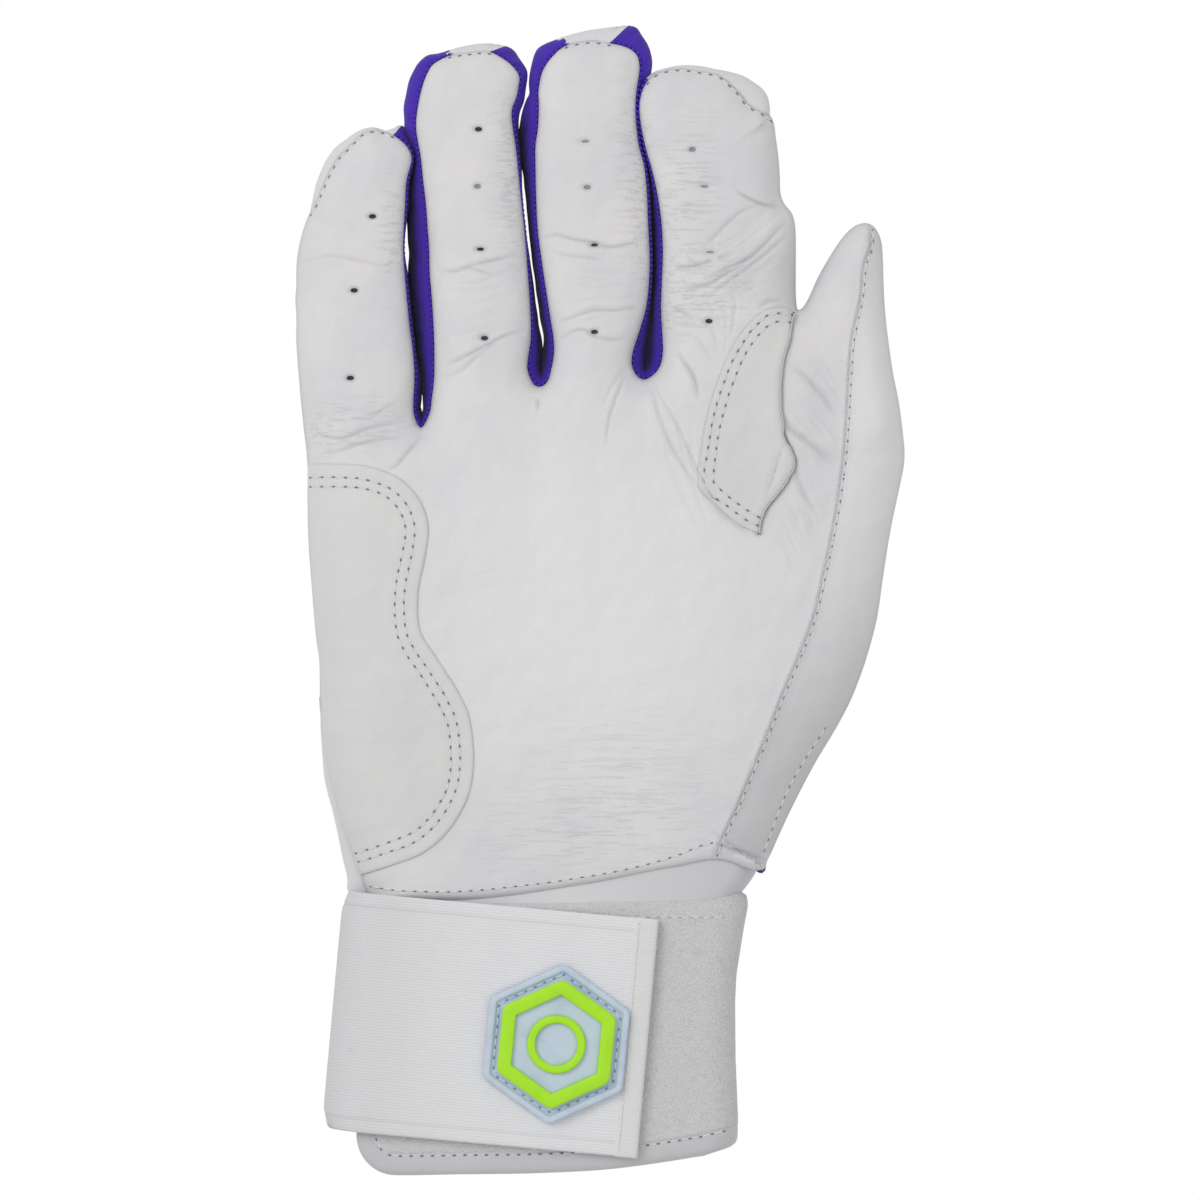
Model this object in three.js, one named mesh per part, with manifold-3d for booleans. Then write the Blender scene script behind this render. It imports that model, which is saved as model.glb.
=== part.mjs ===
// A right-hand batting glove, lying on its back with the palm up and the wrist strap closed.
// Lengths are in millimetres. +Y runs from the cuff to the fingertips, +X towards the thumb, +Z out of the palm.
// While it is built, x is 0 at the middle of the four fingers and y is 0 at the wrist hem. The finished
// glove is then moved so that its origin is the middle of the surface it lies on.

import * as THREE from "three";
import { mergeVertices } from "three/addons/utils/BufferGeometryUtils.js";
import Module from "manifold-3d";

const wasm = await Module();
wasm.setup();

// Thicknesses of what the glove is sewn from
const SKIN = 1.2; // goatskin or stretch cloth, with its thin lining
const OVERLAY = 1.1; // the second layer of leather on the heel and the thumb crotch
const CUFF_WALL = 2.0; // leather over soft foam
const LOOP_PILE = 0.9; // loop half of the fastener
const HOOK_PILE = 0.9; // hook half of the fastener
const STRAP_THICKNESS = 1.6; // woven elastic
const BINDING = 0.9; // leather folded over the raw edge of the cuff
const TAB_THICKNESS = 0.7; // stiff tape folded over the strap's end
const BADGE_THICKNESS = 1.8; // moulded rubber
const BADGE_RELIEF = 0.8; // the coloured parts stand this far off the badge
const SEAM = 0.3; // gap between pieces that are sewn or pressed together

// Fingers, from the crotch beside each one to its tip
const FINGERS = {
  little: { length: 64.6, width: 25.2, tipShare: 0.84, leanDeg: 1.2 },
  ring: { length: 73.6, width: 25.0, tipShare: 0.96, leanDeg: -3.2 },
  middle: { length: 75.2, width: 23.2, tipShare: 1.03, leanDeg: -4.0 },
  index: { length: 67.0, width: 28.6, tipShare: 0.97, leanDeg: -4.4 },
};
const FINGER_NAMES = Object.keys(FINGERS);
const FINGER_GAP = 1.5; // between neighbours where they leave the palm
const FINGER_THICKNESS = 14.0;
const GUSSET_HEIGHT = 6.6; // the stretch strip that joins the front and back of a finger
const KNUCKLE_RISE = 8.0; // from the higher crotch beside a finger up to the line it bends on
const VENT_DIAMETER = 1.9;
const FLEX_LENGTH = 9.0; // stretch insert across the back of each finger
const FLEX_SIDE = 4.2; // leather left beside that insert

// Palm and thumb
const PALM_LENGTH = 110.0; // wrist hem to the crotch beside the index finger
const PALM_THICKNESS = 19.0;
const WRIST_WIDTH = 85.0;
const THUMB_LENGTH = 142.0; // wrist hem to the tip of the thumb
const THUMB_WIDTH = 24.0;
const THUMB_THICKNESS = 15.5;
const HEM_RISE = 9.6; // how far the palm's hem climbs towards the thumb
const REST_PRESS = 0.5; // the back is pressed flat this deep where it lies

// Cuff and strap
const CUFF_LENGTH = 60.0;
const CUFF_THICKNESS = 13.0;
const CUFF_TUCK = 14.0; // the cuff runs this far up inside the hand
const CUFF_CORNER = 8.0; // corner radius of the cuff's free edge
const CUFF_SLIT = 4.2; // the cuff's free edges stop this short of the strap's fold
const CUFF_RISE = 7.4; // how much higher the cuff's lower edge is at the thumb's side
const BINDING_WIDTH = 4.6;
const STRAP_WIDTH = 50.8; // two-inch elastic
const STRAP_DROP = 0.5; // from the wrist hem to the strap's upper edge at the fold
const STRAP_REACH = 68.0; // from the fold across the palm side
const STRAP_ROOT_REACH = 38.0; // from the fold across the back, to where it is sewn down
const FOLD_TILT_DEG = 5.6; // the strap closes a little downhill
const TAB_WIDTH = 4.4;
const HOOK_LENGTH = 34.0;
const HOOK_MARGIN = 4.0; // elastic left bare above and below the hook pad
const BADGE_RADIUS = 17.2;
const BADGE_END = 19.5; // from the strap's end to the middle of the badge
const BADGE_DROP = 1.8; // the badge sits this far below the middle of the strap
const BADGE_LIP = 3.1; // sewn border outside the coloured frame
const FRAME_WIDTH = 2.9;
const BALL_RADIUS = 6.2; // plain ring in the middle of the badge
const BALL_LINE = 1.7;

// How finely the soft shapes are faceted, and the reach of a cut past its piece
const FINGER_SIDES = 20;
const PALM_SIDES = 36;
const CUFF_SIDES = 28;
const SQUARENESS = 2.5; // 2 is an ellipse, higher is boxier
const CUFF_SQUARENESS = 3.4;
const CUT = 200.0;
const LEAST_HALF = 0.35; // no section is thinner than twice this

const LEATHER_WHITE = new THREE.MeshStandardMaterial({ color: 0xe6e5e4, roughness: 0.55, metalness: 0 });
const OVERLAY_WHITE = new THREE.MeshStandardMaterial({ color: 0xe9e8e6, roughness: 0.5, metalness: 0 });
const STRETCH_PURPLE = new THREE.MeshStandardMaterial({ color: 0x3c1f8c, roughness: 0.8, metalness: 0 });
const CUFF_WHITE = new THREE.MeshStandardMaterial({ color: 0xdedee0, roughness: 0.5, metalness: 0 });
const LOOP_GREY = new THREE.MeshStandardMaterial({ color: 0xd0d1d1, roughness: 0.95, metalness: 0 });
const HOOK_WHITE = new THREE.MeshStandardMaterial({ color: 0xdadada, roughness: 0.6, metalness: 0 });
const ELASTIC_WHITE = new THREE.MeshStandardMaterial({ color: 0xe6e6e8, roughness: 0.85, metalness: 0 });
const TAPE_WHITE = new THREE.MeshStandardMaterial({ color: 0xeae6e2, roughness: 0.8, metalness: 0 });
const RUBBER_GREY = new THREE.MeshStandardMaterial({ color: 0xc8d2e6, roughness: 0.45, metalness: 0 });
const RUBBER_LIME = new THREE.MeshStandardMaterial({ color: 0xb4f024, roughness: 0.4, metalness: 0 });

/** Turns a closed three.js geometry into a solid that can be cut and joined. */
function solidOf(geometry) {
  const plain = geometry.clone();
  plain.deleteAttribute("normal");
  plain.deleteAttribute("uv");
  const merged = mergeVertices(plain);
  return new wasm.Manifold(
    new wasm.Mesh({
      numProp: 3,
      vertProperties: merged.attributes.position.array,
      triVerts: new Uint32Array(merged.index.array),
    }),
  );
}

/** Turns a finished solid into a named mesh. */
function meshOf(name, solid, material) {
  const made = solid.getMesh();
  const geometry = new THREE.BufferGeometry();
  geometry.setAttribute("position", new THREE.BufferAttribute(made.vertProperties, made.numProp));
  geometry.setIndex(new THREE.BufferAttribute(made.triVerts, 1));
  geometry.computeVertexNormals();
  const mesh = new THREE.Mesh(geometry, material);
  mesh.name = name;
  return mesh;
}

/** An upright prism on a closed outline of [x, y] points, from zMin to zMax. */
function prism(points, zMin = -CUT, zMax = CUT) {
  const shape = new THREE.Shape(points.map(([x, y]) => new THREE.Vector2(x, y)));
  const geometry = new THREE.ExtrudeGeometry(shape, { depth: zMax - zMin, bevelEnabled: false });
  return solidOf(geometry.translate(0, 0, zMin));
}

/** Everything between two heights. */
const layer = (zMin, zMax) => prism([[-CUT, -CUT], [CUT, -CUT], [CUT, CUT], [-CUT, CUT]], zMin, zMax);

const mix = (a, b, share) => a + (b - a) * share;

/** One ring of a soft tube: a rounded box between its left and right points, its bottom and its top. */
function ringOf(section, grow, sides, squareness) {
  const middle = (section.left[0] + section.right[0]) / 2;
  const halfWidth = Math.max((section.right[0] - section.left[0]) / 2 + grow, LEAST_HALF);
  const halfHeight = Math.max((section.top - section.bottom) / 2 + grow, LEAST_HALF);
  const height = (section.top + section.bottom) / 2;
  return Array.from({ length: sides }, (_, k) => {
    const turn = (2 * Math.PI * k) / sides;
    const round = (part) => Math.sign(part) * Math.abs(part) ** (2 / squareness);
    const x = round(Math.cos(turn)) * halfWidth;
    const share = (x + halfWidth) / (2 * halfWidth);
    const y = mix(section.right[1], section.left[1], (1 - share) ** (section.sweep ?? 1));
    return [middle + x, y, height + round(Math.sin(turn)) * halfHeight];
  });
}

/** A closed tube through sections listed from the cuff end to the fingertip end. */
function loft(sections, grow, sides, squareness = SQUARENESS) {
  const rings = sections.map((section) => ringOf(section, grow, sides, squareness));
  const positions = rings.flat();
  const faces = [];
  rings.slice(1).forEach((_, r) => {
    for (let k = 0; k < sides; k += 1) {
      const next = (k + 1) % sides;
      const [a, b, c, d] = [r * sides + k, r * sides + next, (r + 1) * sides + next, (r + 1) * sides + k];
      faces.push([a, c, b], [a, d, c]);
    }
  });
  [0, rings.length - 1].forEach((r) => {
    for (let k = 1; k < sides / 2; k += 1) {
      const [a, b] = [r * sides + k - 1, r * sides + k];
      const [c, d] = [(r + 1) * sides - k, r * sides + ((sides - k + 1) % sides)];
      const strip = k === 1 ? [[a, b, c]] : [[a, b, c], [a, c, d]];
      if (k === sides / 2 - 1) strip.push([b, b + 1, c]);
      faces.push(...strip.map((face) => (r === 0 ? face : [...face].reverse())));
    }
  });
  const geometry = new THREE.BufferGeometry();
  geometry.setAttribute("position", new THREE.Float32BufferAttribute(positions.flat(), 3));
  geometry.setIndex(faces.flat());
  return solidOf(geometry);
}

// Where each finger stands, across the glove and along it
const palmWidth = FINGER_NAMES.reduce((sum, name) => sum + FINGERS[name].width + FINGER_GAP, -FINGER_GAP);
const palmHalf = palmWidth / 2;
const CROTCH_SHARES = { little: 0.904, ring: 0.982, middle: 1.0, index: 1.0 }; // of the palm length
const gussetBottom = (FINGER_THICKNESS - GUSSET_HEIGHT) / 2;
const gussetTop = gussetBottom + GUSSET_HEIGHT;
const sideSeam = FINGER_THICKNESS / 2;

/** Adds to a finger its middle, its knuckle line and its tip. */
function placeFinger(name, rank) {
  const finger = FINGERS[name];
  const before = FINGER_NAMES.slice(0, rank).reduce((sum, other) => sum + FINGERS[other].width + FINGER_GAP, 0);
  const crotch = PALM_LENGTH * CROTCH_SHARES[name];
  return {
    ...finger,
    name,
    crotch,
    middle: before + finger.width / 2 - palmHalf,
    knuckle: crotch + KNUCKLE_RISE,
    tip: crotch + finger.length,
    lean: Math.tan(THREE.MathUtils.degToRad(finger.leanDeg)),
    outerLeft: name === "little",
    outerRight: name === "index",
  };
}
const fingers = FINGER_NAMES.map(placeFinger);
const centreAt = (finger, y) => finger.middle + (y - finger.knuckle) * finger.lean;

const TIP_START_SHARE = 0.74; // where the rounded tip begins, between the knuckle and the tip
const TIP_TURN_SHARES = [0, 0.3, 0.52, 0.7, 0.84, 0.95]; // of the quarter turn round the tip
const TIP_SQUARENESS = 2.9;

/** Sections of a finger's sleeve above its knuckle line, grown by grow on every side. */
function sleeveSections(finger, grow, start) {
  const end = finger.tip + grow;
  const tipStart = mix(finger.knuckle, finger.tip, TIP_START_SHARE);
  const straight = [start, mix(finger.knuckle, tipStart, 1 / 2)].map((y) => [y, 1]);
  const rounded = TIP_TURN_SHARES.map((share) => {
    const along = Math.sin((share * Math.PI) / 2);
    return [mix(tipStart, end, along), (1 - along ** TIP_SQUARENESS) ** (1 / TIP_SQUARENESS)];
  });
  return [...straight, ...rounded].map(([y, size]) => {
    const share = THREE.MathUtils.clamp((y - finger.knuckle) / (tipStart - finger.knuckle), 0, 1);
    const halfWidth = (finger.width * mix(1, finger.tipShare, share) / 2 + grow) * size - grow;
    const halfHeight = (FINGER_THICKNESS / 2 + grow) * size - grow;
    const middle = centreAt(finger, y);
    return {
      left: [middle - halfWidth, y],
      right: [middle + halfWidth, y],
      bottom: FINGER_THICKNESS / 2 - halfHeight,
      top: FINGER_THICKNESS / 2 + halfHeight,
    };
  });
}

/** The part of a finger below its knuckle line, which is sewn into the palm. */
function stubSections(finger, end) {
  const start = finger.crotch - 2 * KNUCKLE_RISE;
  return [start, end].map((y) => ({
    left: [finger.middle - finger.width / 2, y],
    right: [finger.middle + finger.width / 2, y],
    bottom: 0,
    top: FINGER_THICKNESS,
  }));
}

// The palm's sections: [along the palm, left inset, right inset, rise from wrist to palm height]
const PALM_SHARES = [
  [0, 0.545, 0.455, 0],
  [0.06, 0.485, 0.36, 0.25],
  [0.16, 0.37, 0.2, 0.7],
  [0.3, 0.27, 0.08, 0.95],
  [0.5, 0.22, 0, 1],
  [0.7, 0.14, 0, 0.9],
];

// The cuff's sections, from its lower edge up into the hand
const cuffBottom = STRAP_THICKNESS + SEAM;
const cuffTop = cuffBottom + CUFF_THICKNESS;
const foldSlope = Math.tan(THREE.MathUtils.degToRad(FOLD_TILT_DEG));
const wristLeft = -palmHalf + (palmWidth - WRIST_WIDTH) * PALM_SHARES[0][1];
const wristRight = wristLeft + WRIST_WIDTH;
const cuffLeftAt = (y) => wristLeft + SKIN + SEAM + y * foldSlope;
const CUFF_WAIST_SHARES = [[-1.0, 0.045], [-0.6, 0.045], [-0.25, 0.035], [0, 0.012]]; // [along the cuff, drawn in]

function cuffSections(top) {
  const below = CUFF_WAIST_SHARES.map(([along, drawn]) => [along * CUFF_LENGTH, drawn * WRIST_WIDTH]);
  return [...below, [top, 0]].map(([y, drawn]) => ({
    left: [cuffLeftAt(Math.min(y, 0)), y],
    right: [wristRight - SKIN - SEAM - drawn, y],
    bottom: cuffBottom,
    top: cuffTop,
  }));
}
const cuffSolid = (grow, top = CUFF_TUCK) => loft(cuffSections(top), grow, CUFF_SIDES, CUFF_SQUARENESS);

// [along the palm, how far the thickness still is over the fingers', left inset]
const KNUCKLE_SHARES = [[0.86, 0.5, 0.04], [0.94, 0.12, 0], [0.99, -0.35, 0]];
const PALM_SLANT = 20.0; // how much lower the palm ends at the outside of the little finger
const PALM_SWEEP = 3; // most of that drop is at the little finger

function palmSections(grow) {
  const spare = palmWidth - WRIST_WIDTH;
  const lower = PALM_SHARES.map(([along, left, right, rise]) => ({
    sweep: PALM_SWEEP,
    left: [-palmHalf + left * spare, along * (PALM_LENGTH - PALM_SLANT)],
    right: [palmHalf - right * spare, along * PALM_LENGTH],
    bottom: mix(cuffBottom - SEAM - SKIN, -REST_PRESS, Math.min(1, rise * 2)),
    top: mix(cuffTop + SEAM + SKIN, PALM_THICKNESS, rise),
  }));
  const spareHeight = PALM_THICKNESS - FINGER_THICKNESS;
  const upper = KNUCKLE_SHARES.map(([along, extra, inset]) => ({
    sweep: PALM_SWEEP,
    left: [-palmHalf + inset * spare, along * (PALM_LENGTH - PALM_SLANT) + grow],
    right: [palmHalf, along * PALM_LENGTH + grow],
    bottom: -REST_PRESS + Math.max(0, -extra * spareHeight),
    top: FINGER_THICKNESS + extra * spareHeight,
  }));
  return [...lower, ...upper];
}

// The thumb's sections: [along the thumb, inner edge, outer edge], the edges from the index finger's side
const THUMB_ROOT_SHARES = [
  [0.05, -0.77, -0.27],
  [0.165, -0.59, 0.05],
  [0.285, -0.44, 0.45],
  [0.405, -0.28, 0.68],
  [0.526, -0.13, 0.79],
  [0.631, 0.02, 0.905],
];
const THUMB_KNUCKLE_SHARES = [0.676, 0.035, 0.93];
const THUMB_TIP_SHARES = [
  [0.763, 0.05, 0.87],
  [0.842, 0.07, 0.79],
  [0.901, 0.125, 0.757],
  [0.953, 0.24, 0.748],
  [0.983, 0.37, 0.725],
  [0.998, 0.5, 0.67],
];
const thumbKnuckle = THUMB_LENGTH * THUMB_KNUCKLE_SHARES[0];
const THUMB_THIN_SHARES = { root: 0.72, tip: 0.2 }; // thickness at the wrist and at the very tip
const THUMB_TAPER_SHARE = 0.86; // the thumb thins past here

function thumbSection([along, inner, outer], y = along * THUMB_LENGTH) {
  const rootShare = Math.min(1, along / THUMB_ROOT_SHARES[2][0]);
  const tipShare = Math.max(0, (along - THUMB_TAPER_SHARE) / (1 - THUMB_TAPER_SHARE));
  const fat = mix(THUMB_THIN_SHARES.root, 1, rootShare) * mix(1, THUMB_THIN_SHARES.tip, tipShare ** 2);
  const half = (THUMB_THICKNESS * fat) / 2;
  return {
    left: [palmHalf + inner * THUMB_WIDTH, y],
    right: [palmHalf + outer * THUMB_WIDTH, y],
    bottom: THUMB_THICKNESS / 2 - half,
    top: THUMB_THICKNESS / 2 + half,
  };
}

/** The whole hand below the knuckle lines, as one closed shape grown by grow. */
function handSolid(grow, knuckleOverrun = 0) {
  const palm = loft(palmSections(grow), grow, PALM_SIDES);
  const stubs = fingers.map((finger) =>
    loft(stubSections(finger, finger.knuckle - SEAM / 2 + knuckleOverrun), grow, FINGER_SIDES),
  );
  const thumbEnd = thumbSection(THUMB_KNUCKLE_SHARES, thumbKnuckle - SEAM / 2 + knuckleOverrun);
  const thumb = loft([...THUMB_ROOT_SHARES.map((s) => thumbSection(s)), thumbEnd], grow, FINGER_SIDES);
  return [...stubs, thumb].reduce((whole, piece) => whole.add(piece), palm);
}

// The hem of the palm side, and the seam down the front of the thumb
const HEM_SHARES = [[-1, 0], [-0.19, 0.04], [0.3, 0.45], [0.66, 1], [0.87, 0.66], [1.6, 0.5]]; // [half palm, rise]
const hemPoints = HEM_SHARES.map(([across, rise]) => [across * palmHalf, rise * HEM_RISE]);
const THUMB_SEAM_SHARES = [
  [0.067, -0.68], [0.13, -0.44], [0.27, -0.04], [0.4, 0.21], [0.53, 0.35], [0.676, 0.45], [0.8, 0.5], [0.93, 0.66],
  [1.05, 0.72],
];
const thumbSeam = THUMB_SEAM_SHARES.map(([along, out]) => [palmHalf + out * THUMB_WIDTH, along * THUMB_LENGTH]);
const shift = (points, dx, dy = 0) => points.map(([x, y]) => [x + dx, y + dy]);

/** Everything on the thumb side of the thumb's front seam, moved right by dx. */
const pastThumbSeam = (dx, zMin) =>
  prism([...shift(thumbSeam, dx), [CUT, THUMB_LENGTH + CUT], [CUT, -CUT], [thumbSeam[0][0] + dx, -CUT]], zMin, CUT);

/** Everything above the hem line, in plan, moved up by dy. */
const aboveHem = (dy) =>
  prism([...shift(hemPoints, 0, dy), [CUT, hemPoints.at(-1)[1] + dy], [CUT, CUT], [-CUT, CUT], [-CUT, dy]]);

const ground = layer(0, CUT);
const handShell = handSolid(0)
  .subtract(handSolid(-SKIN, CUT))
  .subtract(loft([{ ...palmSections(0)[0], left: [wristLeft, -CUT], right: [wristRight, -CUT] }, palmSections(0)[0]],
    -SKIN, PALM_SIDES))
  .intersect(ground);

/** How far up the palm reaches between two fingers, at x. */
function palmEndAt(x) {
  const share = (x + palmHalf) / (2 * palmHalf);
  return KNUCKLE_SHARES.at(-1)[0] * mix(PALM_LENGTH, PALM_LENGTH - PALM_SLANT, (1 - share) ** PALM_SWEEP);
}

// The stretch webs in the three crotches, cut out of the hand's shell
const WEB_REACH = 6.2; // to each side of the crotch
const WEB_DEPTH = 4.5; // below the palm's edge there
function webCutter(left, right, grow) {
  const middle = (left.middle + left.width / 2 + right.middle - right.width / 2) / 2;
  const low = palmEndAt(middle) - WEB_DEPTH - grow;
  const [a, b] = [middle - WEB_REACH - grow, middle + WEB_REACH + grow];
  return prism([[a, low], [b, low], [b, CUT], [a, CUT]], gussetBottom - grow, gussetTop + grow);
}
const webPairs = fingers.slice(1).map((finger, rank) => [fingers[rank], finger]);
const webs = webPairs.map(([left, right]) => handShell.intersect(webCutter(left, right, -SEAM / 2)));
const webCuts = webPairs.map(([left, right]) => webCutter(left, right, SEAM / 2));
const withoutWebs = webCuts.reduce((shell, cut) => shell.subtract(cut), handShell);

const WRIST_INSERT_DEPTH = 6.5; // stretch band along the back of the wrist
const backOfHand = withoutWebs.intersect(layer(0, sideSeam - SEAM / 2));
const wristBand = (grow) => prism([[-CUT, -CUT], [CUT, -CUT], [CUT, WRIST_INSERT_DEPTH + grow], [-CUT, WRIST_INSERT_DEPTH + grow]]);
const frontOfHand = withoutWebs.intersect(layer(sideSeam + SEAM / 2, CUT)).intersect(aboveHem(0));

/** A second layer of leather over the palm, on an outline seen from above. */
const overlay = (outline) =>
  handSolid(SEAM + OVERLAY)
    .subtract(handSolid(SEAM))
    .intersect(prism(outline, sideSeam + SEAM, CUT));

const smooth = (points, steps, closed = false) =>
  new THREE.CatmullRomCurve3(points.map(([x, y]) => new THREE.Vector3(x, y, 0)), closed)
    .getPoints(steps)
    .map((p) => [p.x, p.y]);

// Outline of the heel overlay: [half palm, palm length]
const HEEL_SHARES = [
  [-1.1, 0.815], [-0.82, 0.815], [-0.64, 0.79], [-0.52, 0.725], [-0.5, 0.65], [-0.535, 0.56], [-0.5, 0.47],
  [-0.4, 0.385], [-0.32, 0.29], [-0.33, 0.19], [-0.45, 0.095], [-0.72, 0.055], [-1.1, 0.03],
];
const HEEL_STEPS = 30;
const heelOutline = smooth(HEEL_SHARES.map(([x, y]) => [x * palmHalf, y * PALM_LENGTH]), HEEL_STEPS);

// Outline of the overlay in the crotch of the thumb
const CROTCH_OVERLAY_SHARES = [
  [0.985, 1.11], [0.93, 1.12], [0.8, 1.06], [0.7, 0.95], [0.63, 0.82], [0.64, 0.745], [0.72, 0.69], [0.825, 0.64],
  [0.9, 0.69], [0.97, 0.75], [0.93, 0.84], [0.93, 0.94], [0.985, 1.0],
];
const CROTCH_STEPS = 26;
const crotchOutline = smooth(CROTCH_OVERLAY_SHARES.map(([x, y]) => [x * palmHalf, y * PALM_LENGTH]), CROTCH_STEPS);

const hand = new THREE.Group();
hand.add(
  meshOf("palm_panel", frontOfHand.subtract(pastThumbSeam(-SEAM, sideSeam)), LEATHER_WHITE),
  meshOf("thumb_side_panel", frontOfHand.intersect(pastThumbSeam(0, sideSeam)), LEATHER_WHITE),
  meshOf("back_panel", backOfHand.subtract(wristBand(SEAM)), LEATHER_WHITE),
  meshOf("back_wrist_insert", backOfHand.intersect(wristBand(0)), STRETCH_PURPLE),
  meshOf("heel_overlay", overlay(heelOutline), OVERLAY_WHITE),
  meshOf("thumb_crotch_overlay", overlay(crotchOutline), OVERLAY_WHITE),
  ...webs.map((web, rank) => meshOf(`web_gusset_${FINGER_NAMES[rank]}_${FINGER_NAMES[rank + 1]}`, web, STRETCH_PURPLE)),
);

// Vent holes in the front of each finger: [along from its crotch, share of its width off its middle]
const VENT_SHARES = {
  little: [[0.157, -0.08], [0.448, -0.06], [0.69, 0.07]],
  ring: [[0.137, 0], [0.395, 0.01], [0.577, 0.02], [0.743, 0.05]],
  middle: [[0.125, -0.08], [0.371, -0.04], [0.536, -0.06], [0.667, -0.04]],
  index: [[0.175, -0.17], [0.395, -0.13], [0.605, -0.13], [0.722, -0.19]],
};
const VENT_SIDES = 8;
const FLEX_SHARE = 0.52; // where the stretch insert lies, along the finger
const TIP_SEAM_SHARES = { little: [-0.6, 0.2], ring: [-0.22, 0.16], middle: [-0.2, 0.2], index: [-0.34, 0.6] };
const TIP_SEAM_DEPTH = 6.0; // the back's leather folds over the tip this far down

/** The pieces of one finger: front, back, stretch insert and side gussets. */
function fingerMeshes(finger) {
  const { name, width, knuckle, tip } = finger;
  const shell = loft(sleeveSections(finger, 0, knuckle + SEAM / 2), 0, FINGER_SIDES)
    .subtract(loft(sleeveSections(finger, -SKIN, knuckle - CUT), -SKIN, FINGER_SIDES))
    .intersect(ground);

  const [low, high] = [[centreAt(finger, knuckle), knuckle], [centreAt(finger, tip), tip + CUT]];
  const onLeft = (dx, zMin, zMax) =>
    prism([[-CUT, 0], [low[0] + dx, 0], [low[0] + dx, low[1]], [high[0] + dx, high[1]], [-CUT, high[1]]], zMin, zMax);
  const onRight = (dx, zMin, zMax) =>
    prism([[CUT, 0], [CUT, high[1]], [high[0] + dx, high[1]], [low[0] + dx, low[1]], [low[0] + dx, 0]], zMin, zMax);

  const [tipLeft, tipRight] = TIP_SEAM_SHARES[name].map((share) => centreAt(finger, tip) + share * width);
  const overTip = (grow) => prism(
    [[tipLeft - grow, tip - TIP_SEAM_DEPTH - grow], [tipRight + grow, tip - TIP_SEAM_DEPTH - grow],
      [tipRight + grow, tip + CUT], [tipLeft - grow, tip + CUT]],
    -CUT, gussetTop - SEAM / 2 + grow);

  const band = [gussetBottom + SEAM / 2, gussetTop - SEAM / 2];
  let frontCut = layer(gussetTop + SEAM / 2, CUT);
  let backCut = layer(-CUT, gussetBottom - SEAM / 2).add(overTip(0));
  const gussets = [];
  if (finger.outerLeft) {
    frontCut = frontCut.add(onLeft(0, sideSeam + SEAM / 2, CUT).subtract(overTip(SEAM)));
    backCut = backCut.add(onLeft(0, -CUT, sideSeam - SEAM / 2));
  } else gussets.push(["left", onLeft(0, ...band)]);
  if (finger.outerRight) {
    frontCut = frontCut.add(onRight(0, sideSeam + SEAM / 2, CUT).subtract(overTip(SEAM)));
    backCut = backCut.add(onRight(0, -CUT, sideSeam - SEAM / 2));
  } else gussets.push(["right", onRight(SEAM, ...band)]);

  const vents = VENT_SHARES[name].map(([along, across]) => {
    const y = finger.crotch + along * finger.length;
    const x = centreAt(finger, y) + across * width;
    const drill = new THREE.CylinderGeometry(VENT_DIAMETER / 2, VENT_DIAMETER / 2, FINGER_THICKNESS, VENT_SIDES);
    return solidOf(drill.rotateX(Math.PI / 2).translate(x, y, FINGER_THICKNESS));
  });
  const front = vents.reduce((solid, vent) => solid.subtract(vent), shell.intersect(frontCut));

  const flexY = mix(finger.crotch, tip, FLEX_SHARE);
  const flexHalf = width / 2 - FLEX_SIDE;
  const flexCut = (grow) => prism(
    [[-flexHalf - grow, -FLEX_LENGTH / 2 - grow], [flexHalf + grow, -FLEX_LENGTH / 2 - grow],
      [flexHalf + grow, FLEX_LENGTH / 2 + grow], [-flexHalf - grow, FLEX_LENGTH / 2 + grow]]
      .map(([x, y]) => [x + centreAt(finger, flexY), y + flexY]),
    -CUT, gussetBottom);
  const back = shell.intersect(backCut);
  return [
    meshOf(`${name}_front`, front, LEATHER_WHITE),
    meshOf(`${name}_back`, back.subtract(flexCut(SEAM)), LEATHER_WHITE),
    meshOf(`${name}_flex_insert`, shell.intersect(flexCut(0)), STRETCH_PURPLE),
    ...gussets.map(([side, cut]) =>
      meshOf(`${name}_gusset_${side}`, shell.intersect(cut).subtract(overTip(SEAM)), STRETCH_PURPLE)),
  ];
}

/** The thumb above its knuckle line: its front, and the side panel that folds round to the back. */
function thumbMeshes() {
  const knuckleAt = (y) => thumbSection(THUMB_KNUCKLE_SHARES, y);
  const tipAt = (grow) => THUMB_TIP_SHARES.map((shares) => thumbSection(shares, shares[0] * (THUMB_LENGTH + grow)));
  const shell = loft([knuckleAt(thumbKnuckle + SEAM / 2), ...tipAt(0)], 0, FINGER_SIDES)
    .subtract(loft([knuckleAt(thumbKnuckle - CUT), knuckleAt(thumbKnuckle), ...tipAt(-SKIN)], -SKIN, FINGER_SIDES))
    .intersect(ground);
  const under = layer(-CUT, sideSeam - SEAM / 2);
  const over = layer(sideSeam + SEAM / 2, CUT);
  return [
    meshOf("thumb_front", shell.intersect(over).subtract(pastThumbSeam(-SEAM, -CUT)), LEATHER_WHITE),
    meshOf("thumb_back", shell.intersect(under.add(pastThumbSeam(0, -CUT))), LEATHER_WHITE),
  ];
}

// The cuff: a sleeve that is open at the little finger's side, with its binding and loop panel
const cuffHollow = (grow) => loft(
  [{ ...cuffSections(0)[0], left: [cuffLeftAt(-CUFF_LENGTH), -CUT], right: [cuffSections(0)[0].right[0], -CUT] },
    ...cuffSections(CUT)], -CUFF_WALL - grow, CUFF_SIDES, CUFF_SQUARENESS);
const freeEdge = (y, grow) => cuffLeftAt(y) + CUFF_SLIT - grow;
const CORNER_STEPS = 6;
const CUFF_RISE_SHARES = [[0.3, 0], [0.62, 0.14], [0.8, 0.42], [0.94, 0.82], [1, 1]]; // [across the cuff, rise]

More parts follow.
